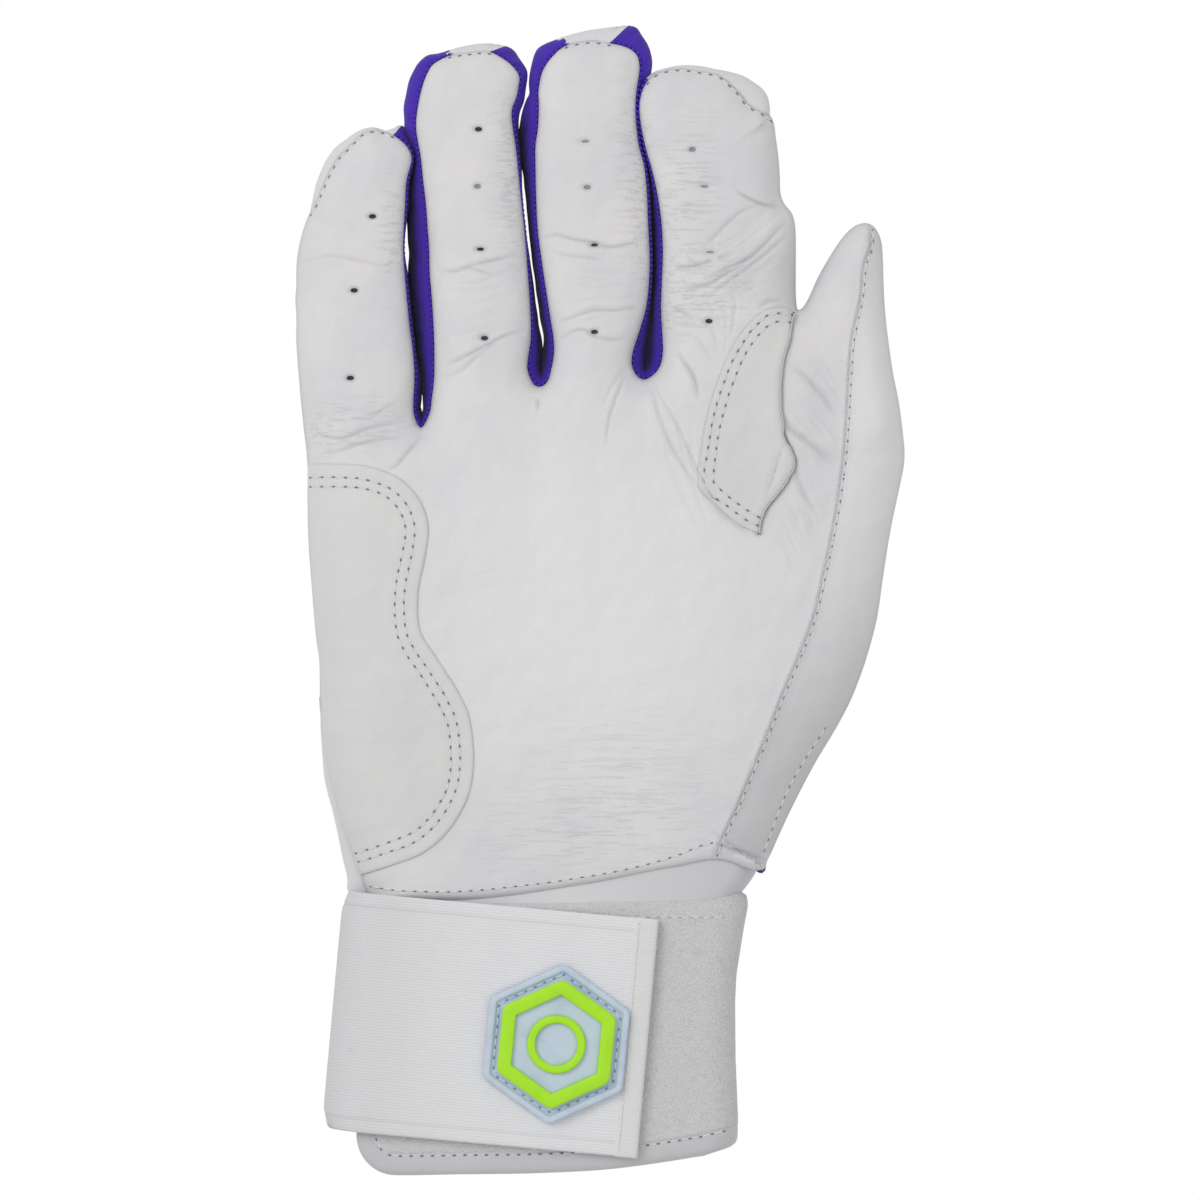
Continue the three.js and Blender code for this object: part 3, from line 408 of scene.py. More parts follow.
PALM_OUTLINE = (
    Stretch("ulnar", Edge.HOOD, 9.5, 8.0, traced(
        (365, 893, 348, 893), (361, 876, 346, 878), (357, 862, 342, 860), (350, 844, 338, 842),
        (343, 828, 335, 828), (338, 810, 331, 810), (334, 795, 327, 795), (329, 775, 322.5, 775),
        (325, 757, 321, 757), (321, 730, 319.5, 730))),
    Stretch("ulnar", Edge.ROLL, 7.0, 9.0, traced(
        (319, 700), (318, 660), (315, 640), (313, 620), (310, 580), (307, 540), (306, 500), (306, 466),
        (305, 452), (302, 424))),
    Stretch("little", Edge.ROLL, 7.0, 6.5, traced(
        (299, 396), (297, 368), (295, 340), (295, 312), (294, 298), (295, 284), (295, 270), (296, 256),
        (298, 242), (302, 228), (307, 214))),
    Stretch("little", Edge.HOOD, 9.8, 5.0, traced(
        (314, 203, 311, 200), (319, 192, 314, 184), (325, 178, 319, 171), (330, 168, 325, 158),
        (336, 157, 334, 146), (344, 149, 344, 138), (353, 140, 354, 131), (360, 133, 362, 127),
        (369, 129, 372, 125.5), (382, 130, 388, 129))),
    Stretch("little_right", Edge.GUSSET, 10.3, 5.5, traced(
        (390, 133, 398, 123.5), (397, 137, 404, 126), (406, 145, 409.5, 139), (411, 157, 414, 156),
        (406, 180, 409.6, 180), (404.5, 204, 408.2, 204), (403, 230, 404.6, 230), (402.5, 250, 403.5, 250),
        (404, 272, 407, 272), (406, 294, 409.5, 294), (409, 323, 412.5, 323), (412.5, 352, 416.4, 352),
        (414, 378, 420.8, 379), (413, 398, 420.8, 394))),
    Stretch("little_ring", Edge.GUSSET, 10.3, 6.5, traced(
        (413, 411, 420, 405), (415.5, 420, 420.5, 409), (420.5, 427, 420.8, 411), (425.5, 420, 421.3, 409),
        (429.5, 410, 422, 405))),
    Stretch("ring_left", Edge.GUSSET, 10.3, 5.5, traced(
        (431.5, 396, 421.3, 396), (433, 380, 420.6, 388), (433.5, 352, 415.4, 352),
        (432.5, 323, 411.5, 323), (431, 294, 408.5, 294), (429, 272, 406.6, 270), (428.5, 250, 407.5, 252),
        (427, 230, 406, 232), (425, 204, 406, 204), (422.5, 180, 408, 182), (420, 157, 411, 160),
        (415.5, 128, 403, 128), (416, 115, 402.5, 115), (418, 100, 403, 98), (421, 88, 406.5, 84),
        (425, 75, 411, 71), (431, 65, 417, 61), (437, 60, 426, 53))),
    Stretch("ring", Edge.HOOD, 10.0, 5.0, traced(
        (446, 55.5, 438, 51), (458, 52.5, 458, 45), (470, 51, 476, 42), (483, 50, 492, 41.2))),
    Stretch("ring_right", Edge.GUSSET, 10.3, 5.5, traced(
        (488, 50.5, 503, 43.5), (494, 52.5, 512, 47.5), (503, 58, 519, 56), (512, 65, 525.5, 66),
        (519, 75, 527, 75), (518, 86, 525.5, 86), (516, 96, 523.5, 98), (511.5, 109, 519.5, 111),
        (512, 123, 518, 124), (515, 145, 520, 145), (517.5, 166, 521.2, 166), (520, 190, 521.8, 190),
        (524, 230, 525.6, 230), (527.5, 272, 531.4, 272), (530, 315, 537, 315), (530, 340, 541.6, 340),
        (528, 356, 543.5, 354))),
    Stretch("ring_middle", Edge.GUSSET, 10.3, 6.5, traced(
        (527, 367, 543.5, 361), (529.5, 377, 543, 364), (535, 385, 542.5, 366), (540.5, 386, 542, 366),
        (546.5, 381, 541, 364), (550.5, 370, 540.5, 361))),
    Stretch("middle_left", Edge.GUSSET, 10.3, 5.5, traced(
        (553, 355, 541, 356), (553, 340, 543, 340), (549.5, 315, 539.2, 315), (543, 272, 533, 272),
        (537, 230, 528, 230), (535.5, 190, 524, 190), (535, 166, 520.6, 166), (535, 145, 519, 145),
        (537, 128, 517.5, 128), (538, 111, 520.8, 111), (538, 100, 525.5, 98), (537.5, 92, 528.5, 92),
        (538.5, 84, 528, 84), (541, 73, 529, 71), (546, 62.5, 532, 55), (552, 55, 537, 46.5),
        (558, 49.5, 545, 41.5))),
    Stretch("middle", Edge.HOOD, 10.0, 5.0, traced(
        (564, 45, 554, 37.5), (572, 42.5, 568, 33), (582, 40.5, 585, 28.7), (592, 39.7, 603, 26),
        (600, 40.5, 614, 24.5))),
    Stretch("middle_right", Edge.GUSSET, 10.3, 5.5, traced(
        (606, 42, 624, 23.3), (616, 43.5, 636, 26), (627, 46.5, 642, 33), (634, 51, 648, 43),
        (638, 57, 651, 54), (639.5, 67, 652, 65), (638.5, 76, 649, 77), (637, 84, 642, 86),
        (635.5, 96, 639.4, 97), (635, 108, 638.4, 108), (636, 125, 639.6, 125), (639, 146, 643, 146),
        (643.5, 163, 647.4, 163), (646.5, 188, 651, 188), (648, 222, 652.4, 222), (649, 250, 653.4, 250),
        (649, 273, 653.4, 273), (646, 306, 651.5, 306), (639, 331, 650, 333))),
    Stretch("middle_index", Edge.GUSSET, 10.3, 6.5, traced(
        (632.5, 352, 648.5, 350), (631.5, 364, 648.5, 360), (636, 374, 648, 363), (643, 379, 646, 364),
        (651.5, 375, 644.5, 363), (659, 366, 644, 359), (662.5, 352, 644.5, 350))),
    Stretch("index_left", Edge.GUSSET, 10.3, 5.5, traced(
        (662, 336, 646.5, 336), (660.5, 306, 649.5, 306), (661.5, 280, 652, 278), (662.5, 250, 652.2, 250),
        (661, 222, 651.2, 222), (656, 190, 649.6, 190), (650.5, 166, 646.6, 166), (646, 150, 642.6, 150),
        (641, 129, 638.6, 129), (639, 111, 637.6, 111), (640, 96, 638.5, 95))),
    Stretch("index", Edge.HOOD, 9.8, 5.0, traced(
        (645, 82, 641, 80), (651, 75, 649, 73), (659, 71, 657, 68.5), (678, 67, 680, 63.5),
        (701, 70, 700, 64), (716, 73, 716, 67), (725, 78, 729, 69.5), (733, 86, 743, 73.5),
        (741, 94, 753, 80), (745, 100, 762, 86.5), (752, 106, 767.5, 95), (762, 111, 770, 106))),
    Stretch("index", Edge.ROLL, 7.0, 6.5, traced(
        (772, 117), (776, 138), (779, 160), (780, 175), (781, 193), (785, 203), (792, 212), (795, 222),
        (796, 235), (796, 270), (796.5, 300))),
    Stretch("thumb", Edge.ROLL, 7.5, 5.5, traced(
        (798, 309), (803, 306), (810, 294), (818, 276), (827, 260), (837, 244), (846, 232), (854, 225),
        (862, 222), (868, 222), (875, 226), (881, 238), (883, 256), (884, 284), (886, 315), (893, 369),
        (899, 400), (902, 424))),
    Stretch("thumb_side", Edge.ROLL, 6.6, 11.5, traced(
        (905, 452), (904, 466), (901, 483), (897, 500), (893, 520), (889, 540), (883, 580), (877, 620),
        (866, 660), (859, 680), (851, 700), (841, 720), (829, 740), (817, 760), (806, 780), (796, 800),
        (786, 820), (777, 840), (770, 856), (767.5, 860), (766, 866), (766, 866))),
    Stretch("hem_corner", Edge.HEM, 13.5, 2.5, traced(
        (764, 868, 765.5, 873))),
    Stretch("hem", Edge.HEM, 15.2, 2.2, traced(
        (755, 869.5, 754.5, 871.5), (739.5, 864.7, 739.5, 864.7), (724, 859.5), (709.5, 859), (680, 864.5),
        (645, 871.5), (604, 879.5), (560, 887), (511, 894.5), (459, 899), (406, 899), (385, 897),
        (365, 893))),
)

# Heights of the gussets' lower edge and of the hem's underside, and how far round each kind of rim turns
GUSSET_FOOT = 3.7
HEM_UNDERSIDE = 1.2
TURN = {Edge.ROLL: 0.0, Edge.HEM: 90.0, Edge.HOOD: 90.0, Edge.GUSSET: 180.0}
FINGERS = ("little", "ring", "middle", "index")
FINGER_START = {"little": 37.47, "ring": 46.05, "middle": 48.03, "index": 48.03}
KNUCKLE = {"little": 45.47, "ring": 54.05, "middle": 56.03, "index": 56.03}
FINGER_BOUNDS = (
    traced((420, 430), (420, 424), (420.5, 385), (416.5, 338), (412.5, 300), (406.3, 263), (408, 230),
        (408.5, 199), (410.8, 172), (412, 153), (402.5, 134), (402, 120), (402, 10)),
    traced((540, 400), (540, 384), (537.5, 355), (537.3, 338), (537, 305), (533.5, 273), (530, 248),
        (527.5, 216), (521, 166), (517, 145), (517, 128), (521, 111), (524, 100), (528, 86), (529, 73),
        (527, 60), (523, 45), (530, 10)),
    traced((641, 400), (641, 379), (650, 338), (653, 296), (654.7, 250), (653, 220), (650.3, 189),
        (645.7, 157), (641, 140), (638.6, 125), (638, 105), (639.7, 95), (641.5, 84), (650, 76), (653, 65),
        (655, 10)),
)
THUMB_START, THUMB_END = 26.0, 44.0


class Perimeter:
    """The outline of the palm side's leather, and of the rim that stands out beyond it."""

    def __init__(self, stretches: tuple[Stretch, ...], pitch: float) -> None:
        """Samples the whole outline.

        Args:
            stretches: the outline's stretches in order.
            pitch: distance between samples.
        """
        owners = [stretch for stretch in stretches for _ in stretch.line]
        self.names, self.edges = [s.name for s in owners], [s.edge for s in owners]
        table = np.array([[*point[:2], *(point[2:] or point[:2]), s.height, s.roll, TURN[s.edge]]
                          for s in stretches for point in s.line])
        line, place = smooth_line(table[:, :4], pitch, closed=True)
        turned = np.vstack([table, table[:1]])
        index = np.arange(len(turned))
        self.seam, self.rim = line[:, :2], line[:, 2:4]
        self.height, self.roll, self.turn = (np.interp(place, index, turned[:, k]) for k in (4, 5, 6))
        self.stretch = np.floor(place).astype(int) % len(table)
        hem = [e is Edge.HEM for e in self.edges + self.edges[:1]]
        plain = turned[:, 4] - (turned[:, 4] - GUSSET_FOOT) * (1 - np.cos(np.radians(turned[:, 6]))) / 2
        self.foot = np.interp(place, index, np.where(hem, HEM_UNDERSIDE, plain))

    def outer(self) -> Array:
        """The outline of the back's leather."""
        return self.seam + (self.rim - self.seam) * np.sin(np.radians(self.turn))[:, None]

    def halves(self, line: Array, heights: Array, rolls: Array) -> list[tuple[Array, Array, Array]]:
        """An outline with its heights and rolls, split into the hem and the rest.

        Args:
            line: the outline's samples.
            heights: the edge's height at each.
            rolls: how far in the leather is rounded.
        Returns:
            The three for each part.
        """
        hem = np.array([self.edges[k] is Edge.HEM for k in self.stretch])
        start = int(np.flatnonzero(hem)[0])
        split = (np.arange(start + 1), np.append(np.arange(start, len(line)), 0))
        return [(line[k], heights[k], rolls[k]) for k in split]

    def runs(self) -> list[tuple[str, Edge, Array]]:
        """The stretches of rim between the two leathers: name, edge and samples of each."""
        found: list[tuple[str, Edge, list[int]]] = []
        for i, k in enumerate(self.stretch):
            if self.edges[k] is Edge.ROLL and self.turn[i] > 1:
                k += 1
            name, edge = self.names[k], self.edges[k]
            if edge in (Edge.ROLL, Edge.HEM):
                continue
            if found and found[-1][:2] == (name, edge) and found[-1][2][-1] == i - 1:
                found[-1][2].append(i)
            else:
                found.append((name, edge, [i]))
        return [(n, e, np.arange(own[0], own[-1] + 2) % len(self.stretch)) for n, e, own in found]


def bell(away: Array, width: float) -> Array:
    """1 where away is 0, falling smoothly to almost nothing at twice the width."""
    return np.exp(-(away / width) ** 2)


@dataclass(frozen=True)
class Crease:
    """A fold line in the leather: a valley between two low banks, with painted shade in it that grows with
    its depth.
    """

    line: Line
    width: float = 0.8
    depth: float = 0.3
    shoulder: float = 0.45
    open_ends: bool = False
    # how strongly the valley's painted shade shows
    stain: float = 1.0

    def press(self, xy: Array) -> tuple[Array, Array]:
        """How the crease moves the points.

        Args:
            xy: the points.
        Returns:
            The rise of each point, and the painted shade that the crease lays on it.
        """
        rise, dark = np.zeros(len(xy)), np.zeros(len(xy))
        line, _ = smooth_line(self.line, 0.7)
        low, high = line.min(0) - 5 * self.width, line.max(0) + 5 * self.width
        near = np.flatnonzero(((xy > low) & (xy < high)).all(1))
        if len(near):
            gap, place = distance_to(line, xy[near])
            share = place / (len(line) - 1)
            taper = np.clip(np.sin(math.pi * share), 0, 1) ** 0.6
            if self.open_ends:
                taper = np.ones_like(share)
            valley = bell(gap, self.width)
            banks = bell(gap - 2 * self.width, 1.1 * self.width)
            rise[near] = self.depth * taper * (self.shoulder * banks - valley)
            dark[near] = taper * bell(gap, 0.7 * self.width) * min(1.0, self.depth * self.stain)
        return rise, dark


@dataclass(frozen=True)
class Swell:
    """A soft rise or hollow of the leather."""

    centre: tuple[float, float]
    reach: tuple[float, float]
    turn: float
    rise: float

    def press(self, xy: Array) -> tuple[Array, Array]:
        """How the swell moves the points.

        Args:
            xy: the points.
        Returns:
            The rise of each point, and no darkness.
        """
        c, s = math.cos(math.radians(self.turn)), math.sin(math.radians(self.turn))
        off = xy - np.array(self.centre)
        u, v = off @ np.array([c, s]), off @ np.array([-s, c])
        return self.rise * np.exp(-(u / self.reach[0]) ** 2 - (v / self.reach[1]) ** 2), np.zeros(len(xy))


@dataclass(frozen=True)
class Hole:
    """A punched hole in the leather."""

    centre: tuple[float, float]
    size: tuple[float, float] = (0.78, 0.5)
    depth: float = 0.95

    def loop(self, grow: float, count: int = 16) -> Array:
        """The hole's edge, grown by some distance."""
        a = np.linspace(0, 2 * math.pi, count, endpoint=False)
        return np.stack([np.cos(a), np.sin(a)], 1) * (np.array(self.size) + grow) + self.centre

    def press(self, xy: Array) -> tuple[Array, Array]:
        """How the leather dips at the hole's edge.

        Args:
            xy: the points.
        Returns:
            The rise of each point, and the painted shade round the hole's edge.
        """
        off = (xy - np.array(self.centre)) / np.array(self.size)
        out = np.maximum(np.linalg.norm(off, axis=1) - 1, 0) * self.size[1]
        return -0.4 * bell(out, 0.35), 0.55 * self.depth * bell(out, 0.3)


@dataclass(frozen=True)
class Skin:
    """One side of the glove as a height over the floor, rolled down to its outline.

    runs are the parts of its outline with the edge's height and roundness at each sample. crown gives the
    height away from the outline, roughness is how high its soft unevenness is, and crimps are the places
    where the leather is finely wrinkled.
    """

    runs: list[tuple[Array, Array, Array]]
    crown: Callable[[Array], Array]
    details: list[Crease | Swell | Hole]
    roughness: float
    crimps: tuple[Swell, ...] = ()

    def survey(self, xy: Array) -> tuple[Array, Array]:
        """The side's height and darkness.

        Args:
            xy: the points from above.
        Returns:
            Height over the floor and painted shade at each point.
        """
        crown, facing = self.crown(xy), self.facing()
        gaps, heights = [], []
        for line, edges, rolls in self.runs:
            gap, place = distance_to(line, xy)
            at = np.arange(len(line))
            edge, roll = np.interp(place, at, edges), np.interp(place, at, rolls)
            near, far = np.clip(gap / roll, 0, 1), np.clip(gap / (1.9 * roll), 0, 1)
            shape = 0.68 * np.sqrt(1 - (1 - near) ** 2) + 0.32 * (1 - (1 - far) ** 2)
            gaps.append(gap)
            heights.append((edge + (crown - edge) * shape) * facing)
        gap, height = np.min(gaps, axis=0), np.min(heights, axis=0) * facing
        rise = self.roughness * ripple(xy, 5, 9.0) + 0.4 * self.roughness * ripple(xy, 8, 3.6)
        dark = np.zeros(len(xy))
        for detail in self.details:
            up, soiled = detail.press(xy)
            rise, dark = rise + up, np.maximum(dark, soiled)
        fade = np.clip(gap / 1.6, 0, 1)
        fade = fade * fade * (3 - 2 * fade)
        # Painted shade of the details, faded near the outline, and a painted band along the outline where
        # the leather rolls down.
        dark = np.maximum(dark * np.clip(fade + 0.3, 0, 1), 0.35 * bell(gap, 0.5))
        return height + rise * fade * facing, dark

    def crimped(self, xy: Array) -> Array:
        """How finely wrinkled points of the side are."""
        return np.clip(sum((c.press(xy)[0] for c in self.crimps), np.zeros(len(xy))), 0, 1)

    def facing(self) -> float:
        """1 for the palm side, whose details rise away from the floor, and -1 for the back."""
        return 1.0 if self.crown(np.zeros((1, 2)))[0] > self.runs[0][1].mean() else -1.0

    def place(self, xy: Array, lift: Array | float = 0.0) -> tuple[Array, Array]:
        """Points on the side or lifted off it, and its normals there.

        Args:
            xy: the points from above.
            lift: distance off the side, along its normal.
        Returns:
            The points in space and the unit normals.
        """
        step = 0.12
        dx, dy = (self.survey(xy + way)[0] - self.survey(xy - way)[0] for way in np.eye(2) * step)
        normal = unit(np.stack([-dx / (2 * step), -dy / (2 * step), np.ones(len(xy))], 1) * self.facing())
        points = np.column_stack([xy, self.survey(xy)[0]])
        return points + normal * np.reshape(np.broadcast_to(lift, len(xy)), (-1, 1)), normal


def crown_of(hills: tuple[tuple[float, float, float], ...], spread: float) -> Callable[[Array], Array]:
    """A smooth height through a few measured places.

    Args:
        hills: each place and its height.
        spread: how widely each counts.
    Returns:
        A function that gives the height at points.
    """
    table = np.array(hills)

    def height(xy: Array) -> Array:
        """Height at points."""
        gap = ((xy[:, None] - table[None, :, :2]) ** 2).sum(2)
        weight = np.exp(-(gap - gap.min(1, keepdims=True)) / (2 * spread**2))
        return (weight * table[None, :, 2]).sum(1) / weight.sum(1)
    return height


def hex_points(low: Array, high: Array, pitch: float) -> Array:
    """A slightly uneven field of points.

    Args:
        low: its lowest corner.
        high: its highest corner.
        pitch: distance between points.
    Returns:
        The points.
    """
    rng = np.random.default_rng(3)
    xs, ys = np.arange(low[0], high[0], pitch), np.arange(low[1], high[1], pitch * 0.87)
    x, y = np.meshgrid(xs, ys)
    x = x + (np.arange(len(ys)) % 2)[:, None] * pitch / 2
    points = np.stack([x.ravel(), y.ravel()], 1)
    return points + rng.uniform(-0.08, 0.08, points.shape) * pitch


def thinned(points: Array, gap: float) -> Array:
    """Takes out points that are too close.

    Args:
        points: the points, of which the earlier ones stay.
        gap: the distance that they keep.
    Returns:
        The points that stay.
    """
    cells: dict[tuple[int, int], list[tuple[float, float]]] = {}
    kept = []
    for x, y in points.tolist():
        i, j = int(x // gap), int(y // gap)
        near = [p for a in (i - 1, i, i + 1) for b in (j - 1, j, j + 1) for p in cells.get((a, b), ())]
        if all((x - u) ** 2 + (y - v) ** 2 >= gap * gap for u, v in near):
            cells.setdefault((i, j), []).append((x, y))
            kept.append((x, y))
    return np.array(kept).reshape(-1, 2)


def crease_rows(creases: list[Crease]) -> Array:
    """Points along creases, close enough together to show them sharp.

    Args:
        creases: the creases.
    Returns:
        The points.
    """
    found = [np.zeros((0, 2))]
    for crease in creases:
        line, _ = smooth_line(crease.line, max(0.45, crease.width))
        side = left_of(line)
        found += [line + side * step * crease.width for step in (0.0, 0.75, -0.75, 1.6, -1.6, 2.6, -2.6)]
    return np.vstack(found)


def edge_rows(loop: Array, steps: tuple[float, ...]) -> list[Array]:
    """Rows of points inside a loop.

    Args:
        loop: the outline.
        steps: distances of the rows from it.
    Returns:
        The rows.
    """
    area = (loop[:, 0] * np.roll(loop[:, 1], -1) - np.roll(loop[:, 0], -1) * loop[:, 1]).sum()
    along = np.roll(loop, -1, axis=0) - np.roll(loop, 1, axis=0)
    inward = unit(np.stack([-along[:, 1], along[:, 0]], 1) * np.sign(area))
    rows = []
    for step in steps:
        row = loop + inward * step
        gap, _ = distance_to(loop, row, closed=True)
        rows.append(row[(gap > 0.94 * step) & inside(loop, row)])
    return rows


def filling(loop: Array, pitch: float, margin: float, holes: list[Hole], creases: list[Crease]) -> Array:
    """Points all over the inside of a loop, closer together along its creases.

    Args:
        loop: the outline.
        pitch: distance between points.
        margin: how wide a border stays free of them.
        holes: holes, which stay free too.
        creases: the folds.
    Returns:
        The points.
    """
    points = hex_points(loop.min(0), loop.max(0), pitch)
    points = points[inside(loop, points)]
    gap, _ = distance_to(loop, points, closed=True)
    points = points[gap > margin + 0.55 * pitch]
    folds = crease_rows(creases)
    if len(folds):
        folds = folds[inside(loop, folds)]
        gap, _ = distance_to(loop, folds, closed=True)
        folds = thinned(folds[gap > margin + 0.2], 0.3)
        _, away = nearest(folds, points)
        points = np.vstack([folds, points[away > 0.6 * pitch]])
    for hole in holes:
        points = points[(np.abs(points - hole.centre) > 1.9).any(1)]
    return points


def mesh_plan(loop: Array, pitch: float, steps: tuple[float, ...], cuts: list[Array], holes: list[Hole],
              creases: list[Crease] | None = None) -> tuple[Array, Array]:
    """Fills an outline with triangles, finer towards its edge.

    Args:
        loop: the outline.
        pitch: size of the triangles inside.
        steps: distances of the rows of points along the edge.
        cuts: lines that the triangles keep to.
        holes: holes left open.
        creases: folds along which the triangles are finer.
    Returns:
        The points from above and the triangles.
    """
    rows = edge_rows(loop, steps)
    rows += [hole.loop(g, 16 + int(8 * g)) for hole in holes for g in (0.15, 0.35, 0.65, 1.05)]
    fixed = [loop, *cuts, *(hole.loop(0.0) for hole in holes)]
    edges, start = [], 0
    for k, line in enumerate(fixed):
        count = len(line)
        last = count - 1 if 0 < k <= len(cuts) else count
        edges += [(start + i, start + (i + 1) % count) for i in range(last)]
        start += count
    points = np.vstack([*fixed, *rows, filling(loop, pitch, steps[-1], holes, creases or [])])
    vectors = [Vector(p) for p in points.tolist()]
    found, _, faces, sources, *_ = delaunay_2d_cdt(vectors, edges, [], 1, 1e-5, True)
    flat = np.array([tuple(v) for v in found])
    tris = np.array([f for f in faces if len(f) == 3])
    tris = tris[kept(loop, flat, tris, np.array([s[0] if s else 0 for s in sources]), cuts, holes)]
    a, b, c = (flat[tris[:, k]] for k in range(3))
    turn = (b[:, 0] - a[:, 0]) * (c[:, 1] - a[:, 1]) - (b[:, 1] - a[:, 1]) * (c[:, 0] - a[:, 0])
    tris[turn < 0] = tris[turn < 0][:, ::-1]
    return flat, tris[np.abs(turn) > 1e-7]


def kept(loop: Array, flat: Array, tris: Array, first: Array, cuts: list[Array],
         holes: list[Hole]) -> Array:
    """Which triangles lie inside the outline and outside its holes.

    Args:
        loop: the outline.
        flat: the points.
        tris: the triangles.
        first: which of the points given to the triangulation each point comes from.
        cuts: the lines across the outline, whose points come after the loop's.
        holes: the holes.
    Returns:
        For each triangle, whether it stays.
    """
    middle = flat[tris].mean(1)
    on_cut = (first >= len(loop)) & (first < len(loop) + sum(map(len, cuts)))
    bare = distance_to(loop, flat, closed=True)[0] < 0.02
    bare[on_cut] |= ~inside(loop, flat[on_cut])
    outer = bare[tris].all(1)
    keep = ~outer
    keep[outer] = inside(loop, middle[outer])
    for hole in holes:
        keep &= (((middle - hole.centre) / np.array(hole.size)) ** 2).sum(1) > 0.97
    return keep


def sampled(at: Array, run: Array, line: Array) -> Array:
    """Places on a line whose points lie at the values of run."""
    return np.stack([np.interp(at, run, line[:, k]) for k in (0, 1)], 1)


@dataclass(frozen=True)
class Wrinkles:
    """A family of fine creases that run between two guide lines."""

    first: Line
    last: Line
    count: int
    width: float = 0.5
    depth: float = 0.16
    seed: int = 1

    def creases(self) -> list[Crease]:
        """The single creases."""
        rng = np.random.default_rng(self.seed)
        share = np.linspace(0, 1, 9)
        guides = [smooth_line(line, 1.0)[0] for line in (self.first, self.last)]
        first, last = (sampled(share, np.linspace(0, 1, len(guide)), guide) for guide in guides)
        found = []
        for k in range(self.count):
            mix = (k + rng.uniform(-0.35, 0.35)) / max(1, self.count - 1)
            low, high = rng.uniform(0, 0.35), rng.uniform(0.65, 1.0)
            part = sampled(np.linspace(low, high, 6), share, first * (1 - mix) + last * mix)
            part = part + rng.normal(0, 0.12, part.shape)
            found.append(Crease(tuple(map(tuple, part)), self.width * rng.uniform(0.7, 1.3),
                                self.depth * rng.uniform(0.5, 1.3), 0.35))
        return found


@dataclass(frozen=True)
class Stitching:
    """A row of stitches. thread and hole are radii, and cover is the thread's share of each stitch."""

    pitch: float = 2.3
    thread: float = 0.2
    hole: float = 0.25
    cover: float = 0.74
    bulge: float = 0.12

    def sew(self, shape: Shape, line: Array | Line, place: Place, thread_slot: int, hole_slot: int) -> None:
        """Adds a row of stitches to a piece.

        Args:
            shape: the piece.
            line: the row from above.
            place: gives points and normals of the surface, a distance off it.
            thread_slot: material of the thread.
            hole_slot: material of the needle holes.
        """
        marks, _ = smooth_line(line, self.pitch)
        if len(marks) > 1:
            self.add_threads(shape, marks, place, thread_slot)
            self.add_holes(shape, marks, place, hole_slot)

    def add_threads(self, shape: Shape, marks: Array, place: Place, slot: int) -> None:
        """Adds the thread between each two needle holes, as a tube that arches over the leather.

        Args:
            shape: the piece.
            marks: where the needle went in, from above.
            place: gives points and normals of the surface.
            slot: material of the thread.
        """
        rows, sides = 6, 6
        share = np.linspace(-self.cover / 2, self.cover / 2, rows)
        middle, run = (marks[:-1] + marks[1:]) / 2, marks[1:] - marks[:-1]
        count = len(middle)
        on, up = place((middle[:, None] + run[:, None] * share[None, :, None]).reshape(-1, 2), 0.0)
        arch = np.tile(self.bulge * np.cos(share / self.cover * math.pi) - 0.35 * self.thread, count)
        spine = (on + up * arch[:, None]).reshape(count, rows, 3)
        up = up.reshape(count, rows, 3)[:, :, None]
        side = np.cross(unit(np.gradient(spine, axis=1)), up[:, :, 0])[:, :, None]
        a = np.linspace(0, 2 * math.pi, sides, endpoint=False)[None, None, :, None]
        width = self.thread * np.array([0.55, 0.95, 1.0, 1.0, 0.95, 0.55])[None, :, None, None]
        ring = side * np.cos(a) * 1.15 + up * np.sin(a)
        last = (rows - 1) * sides
        caps = [(0, k + 1, k) for k in range(1, sides - 1)]
        caps += [(last, last + k, last + k + 1) for k in range(1, sides - 1)]
        one = np.vstack([grid_faces(rows, sides, closed=True), np.array(caps)[:, ::-1]])[:, ::-1]
        faces = one[None] + (np.arange(count) * rows * sides)[:, None, None]
        shape.add((spine[:, :, None] + ring * width).reshape(-1, 3), faces.reshape(-1, 3), slot)

    def add_holes(self, shape: Shape, marks: Array, place: Place, slot: int) -> None:
        """Adds the needle holes as small sunk discs.

        Args:
            shape: the piece.
            marks: where the needle went in, from above.
            place: gives points and normals of the surface.
            slot: material of the holes.
        """
        sides, depth = 8, 0.4
        on, up = place(marks, 0.1)
        ahead = unit(np.gradient(on, axis=0))
        side = np.cross(ahead, up)
        a = np.linspace(0, 2 * math.pi, sides, endpoint=False)[None, :, None]
        disc = on[:, None] + ahead[:, None] * np.cos(a) * self.hole * 1.5
        disc = (disc + side[:, None] * np.sin(a) * self.hole * 0.85).reshape(-1, 3)
        total, base = len(disc), shape.count
        top = np.array([(0, k + 1, k) for k in range(1, sides - 1)])
        wall = np.array([(k, (k + 1) % sides, (k + 1) % sides + total, k + total) for k in range(sides)])
        starts = (np.arange(len(marks)) * sides)[:, None, None]
        tops = (top[None] + starts).reshape(-1, 3)
        points = np.vstack([disc, disc - np.repeat(up, sides, axis=0) * depth])
        shape.add(points, np.vstack([tops, tops[:, ::-1] + total]), slot)
        shape.join((wall[None] + starts).reshape(-1, 4) + base, slot)


# Finishes

